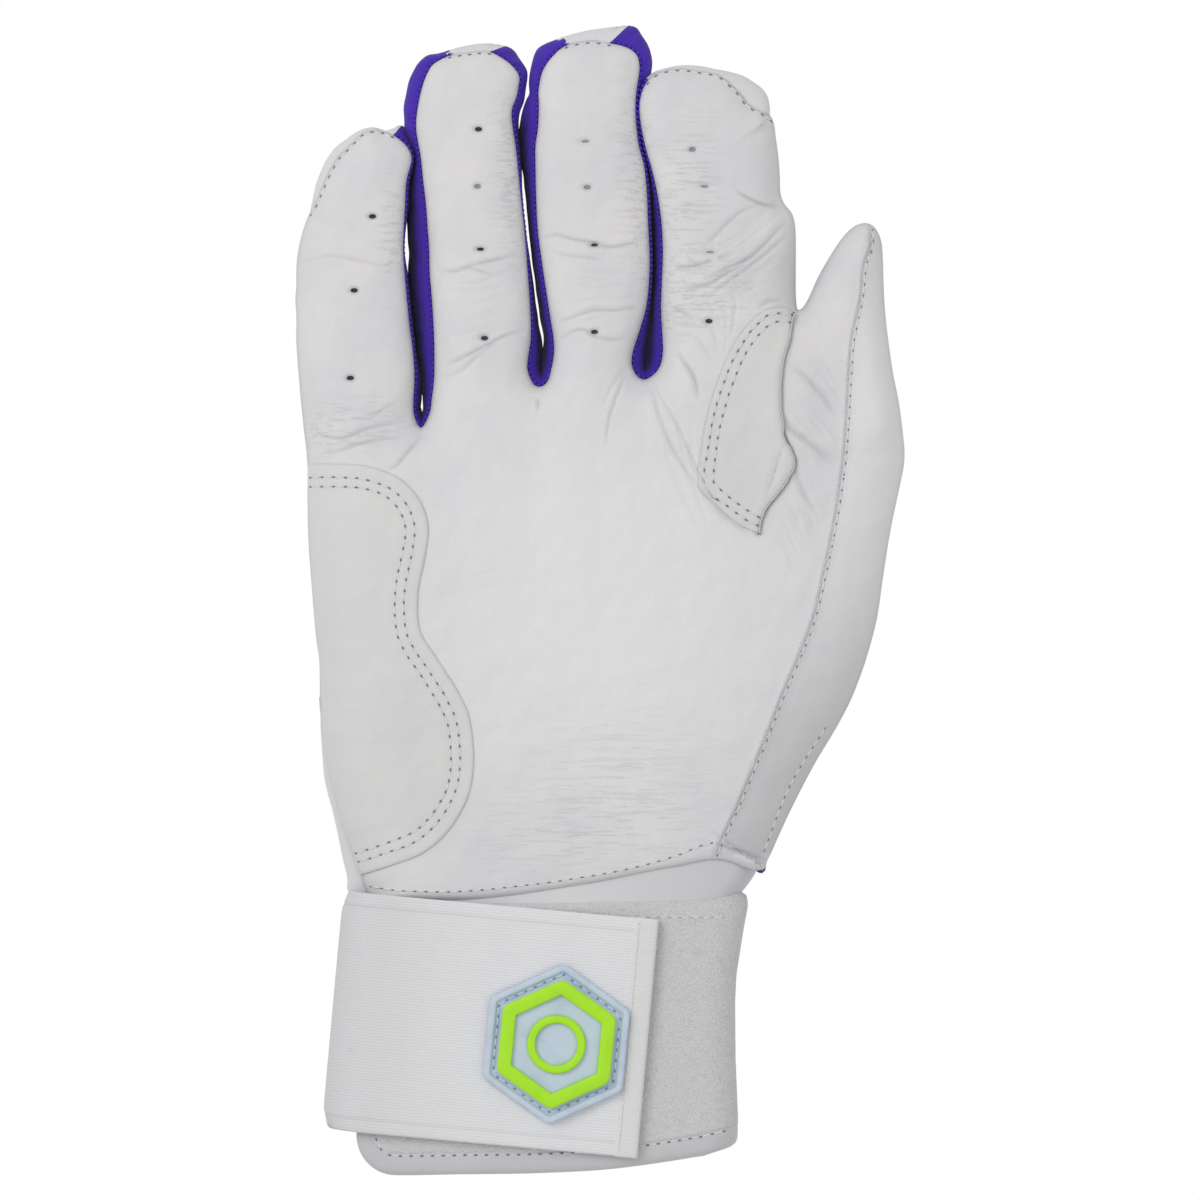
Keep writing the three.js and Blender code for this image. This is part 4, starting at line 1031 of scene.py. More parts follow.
class Lead:
    """A socket's value in a material, on which arithmetic adds Math nodes."""

    def __init__(self, paint: "Paint", socket: bpy.types.NodeSocket | None) -> None:
        """Wraps an output socket."""
        self.paint, self.socket = paint, socket

    def _math(self, operation: str, *values: "Lead | float") -> "Lead":
        """Adds a Math node on these values."""
        inputs = {str(k): value for k, value in enumerate(values)}
        return self.paint.node("ShaderNodeMath", {"operation": operation}, **inputs)

    def other(self, out: str) -> "Lead":
        """Another output of the same node."""
        return Lead(self.paint, self.socket.node.outputs[out])

    def __add__(self, other: "Lead | float") -> "Lead":
        """Sum."""
        return self._math("ADD", self, other)

    def __sub__(self, other: "Lead | float") -> "Lead":
        """Difference."""
        return self._math("SUBTRACT", self, other)

    def __rsub__(self, other: float) -> "Lead":
        """Difference from a number."""
        return self._math("SUBTRACT", other, self)

    def __mul__(self, other: "Lead | float") -> "Lead":
        """Product."""
        return self._math("MULTIPLY", self, other)

    __radd__, __rmul__ = __add__, __mul__

    def wave(self) -> "Lead":
        """Sine."""
        return self._math("SINE", self)

    def size(self) -> "Lead":
        """Absolute value."""
        return self._math("ABSOLUTE", self)

    def step(self, low: float, high: float) -> "Lead":
        """A smooth step from 0 to 1.

        Args:
            low: where it starts.
            high: where it ends.
        Returns:
            The step.
        """
        settings = {"interpolation_type": "SMOOTHSTEP"}
        ends = {"From Min": low, "From Max": high}
        return self.paint.node("ShaderNodeMapRange", settings, Value=self, **ends)


class Paint:
    """The nodes of a material or of the world, under construction."""

    def __init__(self, owner: bpy.types.Material | bpy.types.World) -> None:
        """Starts with no node.

        Args:
            owner: the material or the world.
        """
        self.owner = owner
        owner.use_nodes = True
        self.tree = owner.node_tree
        self.tree.nodes.clear()

    def node(self, kind: str, settings: dict[str, object] | None = None, out: str | int = 0,
             **sockets: object) -> Lead:
        """Adds a node.

        Args:
            kind: the node's type.
            settings: its properties, set before its sockets.
            out: the output to return.
            sockets: values or leads of its inputs, by name or number.
        Returns:
            A lead from the chosen output, where the node has any.
        """
        made = self.tree.nodes.new(kind)
        for key, value in (settings or {}).items():
            setattr(made, key, value)
        for key, value in sockets.items():
            socket = made.inputs[int(key) if key.isdigit() else key]
            if isinstance(value, Lead):
                self.tree.links.new(value.socket, socket)
            else:
                socket.default_value = value
        return Lead(self, made.outputs[out] if len(made.outputs) else None)

    def carried(self, name: str, out: str = "Fac") -> Lead:
        """What the points of the mesh carry under a name."""
        return self.node("ShaderNodeAttribute", {"attribute_name": name}, out)

    def lay(self) -> Lead:
        """Each point's place on the flat material, in millimetres."""
        return self.carried("lay", "Vector")

    def along_and_across(self, where: Lead) -> tuple[Lead, Lead]:
        """The x and the y of places."""
        x = self.node("ShaderNodeSeparateXYZ", None, "X", Vector=where)
        return x, x.other("Y")

    def noise(self, where: Lead, scale: float, detail: float = 3.0, rough: float = 0.55) -> Lead:
        """Noise between 0 and 1."""
        kind = "ShaderNodeTexNoise"
        return self.node(kind, None, "Fac", Vector=where, Scale=scale, Detail=detail, Roughness=rough)

    def cells(self, where: Lead, scale: float) -> Lead:
        """The distance to the middle of the nearest of many small cells."""
        kind = "ShaderNodeTexVoronoi"
        return self.node(kind, {"feature": "F1"}, "Distance", Vector=where, Scale=scale, Randomness=1.0)

    def stretch(self, where: Lead, scale: tuple[float, float, float], turn: float = 0.0) -> Lead:
        """Places turned and stretched."""
        return self.node("ShaderNodeMapping", Vector=where, Scale=scale, Rotation=(0.0, 0.0, turn))

    def mix(self, factor: Lead | float, a: object, b: object) -> Lead:
        """A colour between two colours."""
        a, b = ((*c, 1.0) if isinstance(c, tuple) else c for c in (a, b))
        return self.node("ShaderNodeMix", {"data_type": "RGBA"}, 2, **{"0": factor, "6": a, "7": b})

    def bump(self, height: Lead, strength: float, distance: float) -> Lead:
        """A normal raised by a height."""
        return self.node("ShaderNodeBump", Height=height, Strength=strength, Distance=distance)

    def finish(self, colour: Lead, roughness: Lead, normal: Lead, gloss: float,
               sheen: float = 0.0) -> bpy.types.Material:
        """Adds the surface shader and ends the material.

        Args:
            colour: of the surface.
            roughness: of the surface.
            normal: of the surface.
            gloss: how strongly it reflects, 0 to 1.
            sheen: the glow of fine fibres seen from the side.
        Returns:
            The material.
        """
        named = {"Base Color": colour, "Specular IOR Level": gloss, "Sheen Weight": sheen}
        surface = self.node("ShaderNodeBsdfPrincipled", Normal=normal, Roughness=roughness, **named)
        self.node("ShaderNodeOutputMaterial", Surface=surface)
        return self.owner


Colour = tuple[float, float, float]


@dataclass(frozen=True)
class Leather:
    """Smooth sewn leather with a fine grain and small wrinkles.

    warm is the tone of its broad patches. soiled is the tone that its pores darken towards, and that of the
    painted shade in its creases and fine wrinkles. second is a painted pool of light: a lighter tone near
    around, which fades out over reach.
    """

    name: str
    colour: Colour = (0.755, 0.75, 0.765)
    soiled: Colour = (0.30, 0.29, 0.32)
    warm: Colour = (0.77, 0.755, 0.75)
    grain: float = 0.35
    wrinkles: float = 0.5
    roughness: float = 0.55
    second: Colour | None = None
    around: tuple[float, float, float] = (0.0, 0.0, 15.0)
    reach: float = 60.0

    def build(self) -> bpy.types.Material:
        """Makes the material."""
        p = Paint(bpy.data.materials.new(self.name))
        lay = p.lay()
        pores = p.noise(lay, 2.6, 4.0, 0.6)
        pebbles = p.cells(lay, 1.7)
        folds = p.noise(p.stretch(lay, (0.32, 1.0, 1.0), 0.35), 0.55, 4.0, 0.62)
        broad = p.noise(lay, 0.06, 3.0, 0.5)
        lines = p.noise(p.stretch(lay, (0.16, 1.9, 1.0)), 0.75, 3.0, 0.6).step(0.52, 0.66)
        lines = lines * p.carried("crimp")
        tone = p.mix(broad.step(0.35, 0.7), self.colour, self.warm)
        # A painted pool of light: the tone turns to second near around.
        if self.second:
            ends = {"0": lay, "1": self.around}
            away = p.node("ShaderNodeVectorMath", {"operation": "DISTANCE"}, "Value", **ends)
            tone = p.mix(1 - away.step(12.0, self.reach), tone, self.second)
        # Painted shade in the fine wrinkles, darker pores, and the painted shade that the mesh carries.
        tone = p.mix(lines * 0.14, tone, self.soiled)
        tone = p.mix(pores.step(0.45, 0.8) * 0.10, tone, self.soiled)
        tone = p.mix(p.carried("shade") * 0.8, tone, self.soiled)
        grain = pores * (0.25 * self.grain) + pebbles * (0.5 * self.grain)
        height = folds * self.wrinkles - lines * 0.9 + grain
        return p.finish(tone, pores * 0.16 + (self.roughness - 0.08), p.bump(height, 0.55, 0.00028), 0.35)


@dataclass(frozen=True)
class Knit:
    """Stretch cloth with fine ribs."""

    name: str
    colour: Colour
    deep: Colour
    pitch: float = 0.55
    sheen: float = 0.12

    def build(self) -> bpy.types.Material:
        """Makes the material."""
        p = Paint(bpy.data.materials.new(self.name))
        lay = p.lay()
        x, y = p.along_and_across(lay)
        wobble = p.noise(lay, 0.9) * 0.9
        rib = ((x + wobble * 0.3) * (2 * math.pi / self.pitch)).wave().size()
        loop = ((y + wobble * 0.3) * (2 * math.pi / (1.5 * self.pitch))).wave().size()
        weave = rib * loop
        fuzz = p.noise(lay, 7.0, 2.0)
        tone = p.mix(weave.step(0.0, 0.6) * 0.62 + fuzz * 0.3 + 0.14, self.deep, self.colour)
        # Painted shade: the gussets darken towards the valleys between the fingers.
        tone = p.mix(p.carried("shade"), tone, self.deep)
        normal = p.bump(weave * 0.8 + fuzz * 0.3, 0.6, 0.00022)
        return p.finish(tone, fuzz * 0.2 + 0.62, normal, 0.25, self.sheen)


@dataclass(frozen=True)
class Pile:
    """Looped or hooked fastener tape."""

    name: str
    colour: Colour
    deep: Colour
    size: float = 0.32

    def build(self) -> bpy.types.Material:
        """Makes the material."""
        p = Paint(bpy.data.materials.new(self.name))
        lay = p.lay()
        loops = p.cells(lay, 1 / self.size)
        fuzz = p.noise(lay, 1.4 / self.size, 3.0, 0.7)
        patches = p.noise(lay, 0.5, 4.0, 0.65)
        tone = p.mix(loops.step(0.2, 0.75) * 0.45 + patches.step(0.5, 0.75) * 0.3, self.colour, self.deep)
        # Painted shade, where a piece carries it.
        tone = p.mix(p.carried("shade") * 0.6, tone, self.deep)
        return p.finish(tone, fuzz * 0.1 + 0.85, p.bump(1 - loops + fuzz * 0.6, 0.7, 0.0003), 0.15, 0.2)


@dataclass(frozen=True)
class Webbing:
    """Woven elastic with ribs along it and fine weft across."""

    name: str
    colour: Colour
    deep: Colour
    rib: float = 0.62
    weft: float = 0.45

    def build(self) -> bpy.types.Material:
        """Makes the material."""
        p = Paint(bpy.data.materials.new(self.name))
        lay = p.lay()
        x, y = p.along_and_across(lay)
        wobble = p.noise(lay, 0.35, 2.0) * 0.5
        ribs = ((y + wobble * 0.5) * (math.pi / self.rib)).wave().size()
        wefts = ((x + wobble * 0.6) * (math.pi / self.weft)).wave().size()
        strength = p.noise(p.stretch(lay, (0.12, 0.5, 1.0)), 0.5, 3.0)
        weave = ribs * 0.7 + wefts * strength * 0.6
        fuzz = p.noise(lay, 5.0, 3.0, 0.7)
        flecks = p.noise(p.stretch(lay, (0.5, 2.0, 1.0)), 1.5, 2.0, 0.7)
        valleys = (1 - weave).step(0.3, 1.0) * 0.28 + flecks.step(0.6, 0.85) * 0.2
        tone = p.mix(valleys, self.colour, self.deep)
        # Painted shade that the strap carries, along its seams and towards its fold.
        tone = p.mix(p.carried("shade") * 0.7, tone, self.deep)
        return p.finish(tone, fuzz * 0.15 + 0.7, p.bump(weave + fuzz * 0.35, 0.55, 0.00022), 0.2, 0.15)


@dataclass(frozen=True)
class Rubber:
    """Moulded rubber or plastic with a fine satin surface."""

    name: str
    colour: Colour
    deep: Colour
    roughness: float = 0.45

    def build(self) -> bpy.types.Material:
        """Makes the material."""
        p = Paint(bpy.data.materials.new(self.name))
        lay = p.lay()
        grain = p.noise(lay, 6.0, 3.0, 0.6)
        cloud = p.noise(lay, 0.25, 3.0)
        # Painted shade at the foot of the badge's parts and in its groove.
        tone = p.mix(cloud.step(0.4, 0.75) * 0.25 + p.carried("shade") * 0.75, self.colour, self.deep)
        return p.finish(tone, grain * 0.12 + (self.roughness - 0.06), p.bump(grain, 0.3, 0.00006), 0.4)


FINISHES = {f.name: f for f in (
    # palm_leather's second tone is a painted pool of light on the middle of the palm. side_leather is the
    # same leather painted darker, painted shade on the thumb's side panel, with a painted pool of light
    # towards the thumb's tip.
    Leather("palm_leather", (0.715, 0.71, 0.73), second=(0.80, 0.798, 0.812)),
    Leather("side_leather", (0.625, 0.622, 0.64), warm=(0.635, 0.63, 0.64), second=(0.80, 0.798, 0.815),
            around=(57.0, 38.0, 12.0), reach=75.0),
    Leather("overlay_leather", (0.705, 0.702, 0.70), (0.30, 0.29, 0.31), (0.73, 0.722, 0.715), 0.45, 0.35,
            0.58),
    Leather("back_leather", (0.74, 0.74, 0.76), (0.30, 0.30, 0.33), (0.76, 0.75, 0.75), 0.5, 0.3, 0.5),
    Leather("cuff_leather", (0.71, 0.702, 0.73), (0.30, 0.29, 0.33), (0.73, 0.715, 0.73), 0.2, 0.15, 0.5),
    Leather("binding_leather", (0.585, 0.58, 0.605), (0.26, 0.25, 0.29), (0.61, 0.60, 0.62), 0.2, 0.15,
            0.5),
    # purple_stretch's deep tone is the weave's valleys and the painted shade in the gussets.
    Knit("purple_stretch", (0.125, 0.045, 0.80), (0.004, 0.002, 0.028)),
    Rubber("purple_thread", (0.085, 0.032, 0.5), (0.02, 0.008, 0.12), 0.8),
    Pile("loop_tape", (0.76, 0.76, 0.77), (0.53, 0.53, 0.545)),
    Pile("hook_tape", (0.62, 0.62, 0.63), (0.38, 0.38, 0.40), 0.6),
    Webbing("elastic", (0.84, 0.84, 0.855), (0.58, 0.58, 0.60)),
    Webbing("end_tape", (0.82, 0.815, 0.815), (0.60, 0.59, 0.59), 0.5, 0.4),
    Rubber("badge_grey", (0.58, 0.68, 0.80), (0.30, 0.38, 0.54)),
    # Painted shade in the badge's stitch holes, under the palm's shallower punched holes and in the loop
    # panel's stitch holes.
    Rubber("badge_hole", (0.27, 0.34, 0.46), (0.15, 0.18, 0.26), 0.9),
    Rubber("faint_hole", (0.36, 0.355, 0.37), (0.2, 0.2, 0.21), 0.9),
    Rubber("tape_hole", (0.50, 0.50, 0.51), (0.4, 0.4, 0.41), 0.9),
    Rubber("badge_lime", (0.43, 0.87, 0.015), (0.30, 0.66, 0.01), 0.4),
    Rubber("thread", (0.78, 0.775, 0.78), (0.66, 0.655, 0.66), 0.7),
    # Painted shade in the needle holes, and inside: painted shade seen under the palm's deeper punched
    # holes.
    Rubber("needle_hole", (0.235, 0.23, 0.24), (0.16, 0.155, 0.17), 0.9),
    Rubber("inside", (0.10, 0.09, 0.12), (0.05, 0.04, 0.07), 0.9),
)}


@cache
def material(name: str) -> bpy.types.Material:
    """The material of that name, made once."""
    return FINISHES[name].build()


def finish_of(*names: str) -> list[bpy.types.Material]:
    """The materials of those names."""
    return [material(name) for name in names]


def show(piece: bpy.types.Object, slot: str, *nodes: str, body: str = "",
         bend: tuple[str, str, float, float] | None = None) -> bpy.types.Object:
    """Puts a finished piece on its body, or fixes it where it is.

    Args:
        piece: the piece.
        slot: the record's material slot; not used.
        nodes: the CAD nodes it stands for.
        body: the body it rides on.
        bend: or the two bodies it would bend between, and where along the glove it would start and end to
            turn; then the piece is only fixed where it is.
    Returns:
        The piece.
    """
    if bend is None:
        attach(piece, body)
    else:
        first, second, low, high = bend
        low * MM
        high * MM
        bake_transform(piece)
    if nodes:
        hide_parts(*nodes)
    log.info("%s: %d faces", piece.name, len(piece.data.polygons))
    return piece


# The hand: palm side, back, gussets and overlays

PALM_CROWN = (
    (-50, 98, 13.2), (-51, 70, 13.9), (-51, 45, 14.6), (-25, 116, 13.2), (-25, 85, 13.9), (-25, 54, 14.6),
    (0, 119, 13.2), (0, 85, 13.9), (1, 54, 14.8), (27, 108, 13.2), (28, 80, 14.0), (29, 54, 15.0),
    (-50, 30, 16.4), (-20, 34, 16.4), (8, 36, 16.4), (30, 36, 16.0), (-50, 5, 18.6), (-15, 5, 17.4),
    (20, 5, 18.0), (42, 22, 16.0), (-50, -25, 19.0), (-15, -25, 17.8), (20, -25, 18.6), (46, -10, 16.6),
    (-45, -45, 18.4), (-12, -45, 18.0), (20, -40, 18.2), (-45, -60, 16.9), (-10, -62, 16.8),
    (25, -56, 16.6), (38, -38, 16.0), (52, 72, 12.6), (54, 50, 14.2), (55, 30, 15.0), (54, 5, 15.4),
    (48, -18, 15.6),
)
GAP_LINE = traced(
    (797, 309), (791, 325), (786, 343), (782, 359), (780, 381), (780, 403), (782, 425), (787, 442),
    (794, 460), (797, 478))
THUMB_SEAM = traced(
    (868, 222), (870.5, 230), (871, 238), (869, 249), (864, 264), (860, 298), (851, 340), (849, 369),
    (846, 416), (843, 454), (840, 480), (836, 507), (828, 549), (823, 573), (813, 615), (798, 655),
    (783, 690), (768, 728), (756, 758), (735, 808), (721, 838), (714, 854))
PATCH_FREE_EDGE = traced(
    (790, 311), (789.5, 325), (787, 341), (782.5, 354), (780, 368), (778.5, 390), (779, 416), (783, 437),
    (791, 455), (793, 462), (789, 473), (778, 490), (764, 508), (759, 520), (757, 534))


def fold(line: Line, depth: float = 0.3, width: float = 0.45) -> Crease:
    """A sharp thin fold."""
    return Crease(line, width, depth, 0.4, False, 1.7)


PALM_DETAILS = [
    fold(traced((299, 262), (330, 256), (365, 262), (402, 268)), 0.14),
    fold(traced((307, 431), (341, 438.4), (368, 428.5), (406, 420.5))),
    fold(traced((320, 452.5), (341, 450), (364, 442.6), (402, 436.3)), 0.26),
    fold(traced((366, 420.5), (385, 408), (398, 403.7)), 0.2),
    fold(traced((420, 432), (417, 440), (408, 452), (398, 464), (387, 470)), 0.3),
    fold(traced((435, 268), (445, 271.6), (459, 270.5), (467, 267.6), (482, 272), (497, 275)), 0.24),
    fold(traced((459, 270.5), (480, 263), (500, 259), (518, 253)), 0.3),
    fold(traced((443, 366), (463, 357), (488, 344), (509.5, 333.7), (526, 329.5)), 0.34),
    fold(traced((438, 377), (459, 371.6), (482, 352), (507, 335)), 0.2),
    fold(traced(
        (539, 237), (556, 234.7), (572.6, 239), (589.5, 242), (610.5, 247), (631.6, 243),
        (648, 239)), 0.32),
    fold(traced((552, 252), (570, 256), (590, 258), (606, 262)), 0.18),
    fold(traced((555.8, 323), (572.6, 316.8), (593.7, 310.5), (614.7, 310.5), (640, 306)), 0.3),
    fold(traced((553.7, 340), (581, 329.5), (593.7, 335.8), (614.7, 340), (630, 333.7)), 0.26),
    fold(traced((628, 370), (618, 392), (609, 418), (605, 446)), 0.26, 0.4),
    fold(traced((625, 368), (612, 384), (603, 405)), 0.14),
    fold(traced((648, 384), (655, 400), (659, 418)), 0.16),
    fold(traced((650.5, 392), (669.5, 443), (692.6, 481), (708, 500)), 0.22, 0.55),
    fold(traced((675.8, 352.6), (692.6, 375.8), (698, 400)), 0.36, 0.6),
    fold(traced((539, 389), (537, 411.6)), 0.28),
    fold(traced((667, 268.4), (690.5, 266.3), (718, 258), (735, 251.6)), 0.34),
    fold(traced((678, 289.5), (709.5, 283), (726.3, 272.6), (747.4, 264.2)), 0.4, 0.6),
    fold(traced((686, 256), (701, 268.4), (711.6, 272.6)), 0.2),
    fold(traced((665, 314.7), (678, 310.5), (694.7, 321)), 0.22),
    fold(traced((735, 190), (748, 198), (762, 204), (780, 206)), 0.4, 0.5),
    fold(traced((755.8, 308.4), (768.4, 301), (782, 300)), 0.25),
    Crease(traced((549, 395), (538, 470), (530, 560), (526, 620)), 5.0, 0.3, 0.2, False, 0.0),
    Crease(traced((636, 400), (660, 470), (674, 540), (684, 610)), 5.0, 0.32, 0.2, False, 0.0),
    Swell(spot(568, 500), (4.5, 24.0), 6.0, 0.35),
    Crease(traced((781, 412), (789, 428), (806, 441), (832, 464)), 0.8, 0.5),
    Crease(traced((793, 466), (799, 484), (808, 502), (815, 512)), 0.7, 0.36),
    fold(traced((790, 365), (810.5, 382), (836, 416)), 0.26, 0.8),
    Crease(traced((722, 849.5), (740, 857), (763, 865)), 1.0, -0.45, 0.0, False, 0.0),
    fold(traced((714, 842), (730, 847.5), (746, 854.5), (768, 860)), 0.5, 0.4),
    Crease(traced(
        (430, 895), (470, 895), (511, 890.5), (560, 883), (604, 875.5), (645, 867.5), (680, 860.5),
        (709, 855)), 0.55, -0.2, 0.0, False, 0.0),
    Crease(PATCH_FREE_EDGE, 0.5, 0.5, 0.2, True),
    fold(traced((783, 441), (777, 461), (771, 480), (764, 497)), 0.3, 0.5),
    fold(traced((652, 384), (676, 424), (696, 468), (711, 497), (736, 522), (752, 533)), 0.2, 0.4),
    Crease(traced((700, 470), (716, 507), (737, 525), (754, 536)), 0.9, 0.3, 0.2),
    Crease(THUMB_SEAM, 0.3, 0.42, 0.6, True, 0.7),
    Swell(spot(806, 432), (5.0, 14.0), 60.0, 0.7),
    Swell(spot(640, 640), (9.0, 26.0), 20.0, 0.35),
    Swell(spot(765, 262), (10.0, 4.0), 25.0, 0.7),
    Swell(spot(705, 296), (12.0, 4.5), 25.0, 0.5),
    Swell(spot(745, 228), (10.0, 3.5), 20.0, -0.5),
    *Wrinkles(traced((312, 418), (350, 414), (408, 398)), traced((312, 450), (350, 446), (412, 424)),
              8, 0.35, 0.12, 3).creases(),
    *Wrinkles(traced((437, 276), (470, 280), (522, 262)), traced((440, 345), (480, 335), (528, 318)),
              8, 0.35, 0.11, 4).creases(),
    *Wrinkles(traced((552, 262), (590, 270), (640, 270)), traced((560, 335), (600, 322), (636, 318)),
              7, 0.35, 0.11, 5).creases(),
    fold(traced((700, 281), (722, 270), (749, 257), (786, 220)), 0.42, 0.6),
    fold(traced((705, 299), (728, 282), (752, 264), (790, 232)), 0.3, 0.5),
    fold(traced((700, 252), (718, 232), (740, 212), (760, 204)), 0.22, 0.5),
    *Wrinkles(traced((678, 262), (735, 235), (786, 190)), traced((690, 330), (740, 296), (792, 262)),
              13, 0.32, 0.12, 6).creases(),
    *Wrinkles(traced((720, 262), (735, 300), (730, 340)), traced((660, 330), (700, 345), (712, 385)),
              5, 0.4, 0.14, 7).creases(),
    *Wrinkles(traced((800, 326), (823, 364), (845, 404)), traced((788, 420), (812, 452), (838, 482)),
              15, 0.32, 0.13, 8).creases(),
    *Wrinkles(traced((768, 524), (782, 552), (792, 580)), traced((800, 478), (812, 506), (824, 534)),
              8, 0.32, 0.12, 13).creases(),
    *Wrinkles(traced((705, 420), (700, 460), (712, 500)), traced((655, 400), (672, 470), (705, 540)),
              6, 0.5, 0.13, 12).creases(),
    *[Hole(c) for c in traced((372, 216), (354, 290), (350, 378), (478, 129), (484, 338), (594, 332),
                              (708, 321))],
    *[Hole(c, (0.78, 0.36)) for c in traced((480, 249), (594, 245))],
    *[Hole(c, (0.74, 0.5), 0.5) for c in traced((477, 186), (587, 187), (692, 149))],
    *[Hole(c, (0.85, 0.3), 0.3) for c in traced((585, 141), (704, 186), (709, 252))],
]
PALM_CRIMPS = (
    Swell(spot(510, 180), (3.4, 20.0), 4.0, 1.0), Swell(spot(636, 180), (4.4, 20.0), 4.0, 1.0),
    Swell(spot(392, 235), (3.0, 13.0), 0.0, 1.0), Swell(spot(690, 190), (6.0, 14.0), -6.0, 1.0),
    Swell(spot(345, 425), (12.0, 5.5), 8.0, 1.0), Swell(spot(700, 300), (12.0, 8.0), 20.0, 1.0),
    Swell(spot(570, 835), (26.0, 9.0), 6.0, 0.5), Swell(spot(620, 770), (20.0, 16.0), 0.0, 0.5),
)
HEM_ROW = traced(
    (370.5, 886), (394.7, 889), (418, 890), (442, 890.5), (459, 890), (482, 888.5), (504, 886.5),
    (529, 883.5), (556, 880), (579, 876.5), (603, 872.5), (644, 864), (681, 852.5), (697, 845.5),
    (711, 842))
HEEL_EDGE = traced(
    (309.5, 463), (330, 463), (364, 465), (383, 470), (400, 478), (415, 492), (425, 511), (429, 530),
    (425, 557), (419, 589), (418, 610), (421, 631), (440, 662), (459, 692), (469, 715), (473, 738),
    (474, 763), (471, 786), (463, 807), (446, 833), (423, 852), (394, 864), (360, 875.5))
HEEL_SIDE = traced(
    (359, 864), (346, 828), (337, 795), (328, 757), (325, 730), (324, 700), (322, 664), (319.5, 640),
    (317, 610), (314, 570), (312, 530), (310.5, 490), (309.5, 464))
PATCH_EDGE = traced(
    (756, 534), (737, 523), (717, 508), (699, 489), (697, 474), (700, 450), (704, 424), (711, 397),
    (719, 374), (728, 353), (740, 333), (753, 318), (766, 308.5), (779, 306.5), (789, 308))
SIDE_ROW = traced((825, 728), (802, 763), (787, 790), (773, 826), (764, 850))

# The back's stretch inserts as left, right, low and high, and the wrist's own outline
INSERTS = {
    "hand": (-53.2, 34.6, -61.8, -55.5), "little": (-59.0, -42.2, 66.6, 75.6),
    "ring": (-34.5, -17.9, 79.8, 88.8), "middle": (-8.5, 6.3, 82.6, 91.6),
    "index": (16.3, 36.5, 78.4, 87.4),
}
WRIST_INSERT = (
    (35.6, -59.2), (35.6, -57.3), (34.2, -55.5), (-53.2, -55.5), (-53.2, -61.8), (31.6, -61.8),
    (32.8, -59.2),
)

# Where the wall beside the thumb's cut starts and ends, and the web that each finger's gusset runs into
WALL_REACH = {"hand": (25.5, 48.6), "index": (47.6, 59.5)}
WEB_BESIDE = {
    "little_right": "little_ring", "ring_left": "little_ring", "ring_right": "ring_middle",
    "middle_left": "ring_middle", "middle_right": "middle_index", "index_left": "middle_index",
}
BACK_CROWN = tuple((x, y, 0.7) for x in (-40.0, 0.0, 40.0) for y in (-60.0, 0.0, 60.0, 110.0))


@dataclass(frozen=True)
class Panel:
    """A panel of the palm side: its piece, the CAD nodes it stands for, the part it belongs to and its
    finish.
    """

    name: str
    nodes: tuple[str, ...]
    owner: str
    finish: str = "palm_leather"


PANELS = {
    "hand": Panel("palm_leather", ("palm_panel",), "hand"),
    "thumb_side": Panel("thumb_side_leather", ("thumb_side_panel",), "hand", "side_leather"),
    "thumb_side_tip": Panel("thumb_tip_side_leather", (), "thumb", "side_leather"),
    **{f: Panel(f"{f}_front_leather", (f"{f}_front",), f) for f in (*FINGERS, "thumb")},
}
PARTS = ("hand", *FINGERS, "thumb")
THUMB_STITCH, SIDE_STITCH = Stitching(2.4, 0.12, 0.17), Stitching(2.4, 0.14, 0.18)


def level_line(start: float, end: float, y: float) -> Array:
    """A line across the glove at some height along it, sampled evenly."""
    xs = np.arange(start, end, 0.75)
    return np.stack([xs, np.full_like(xs, y)], 1)


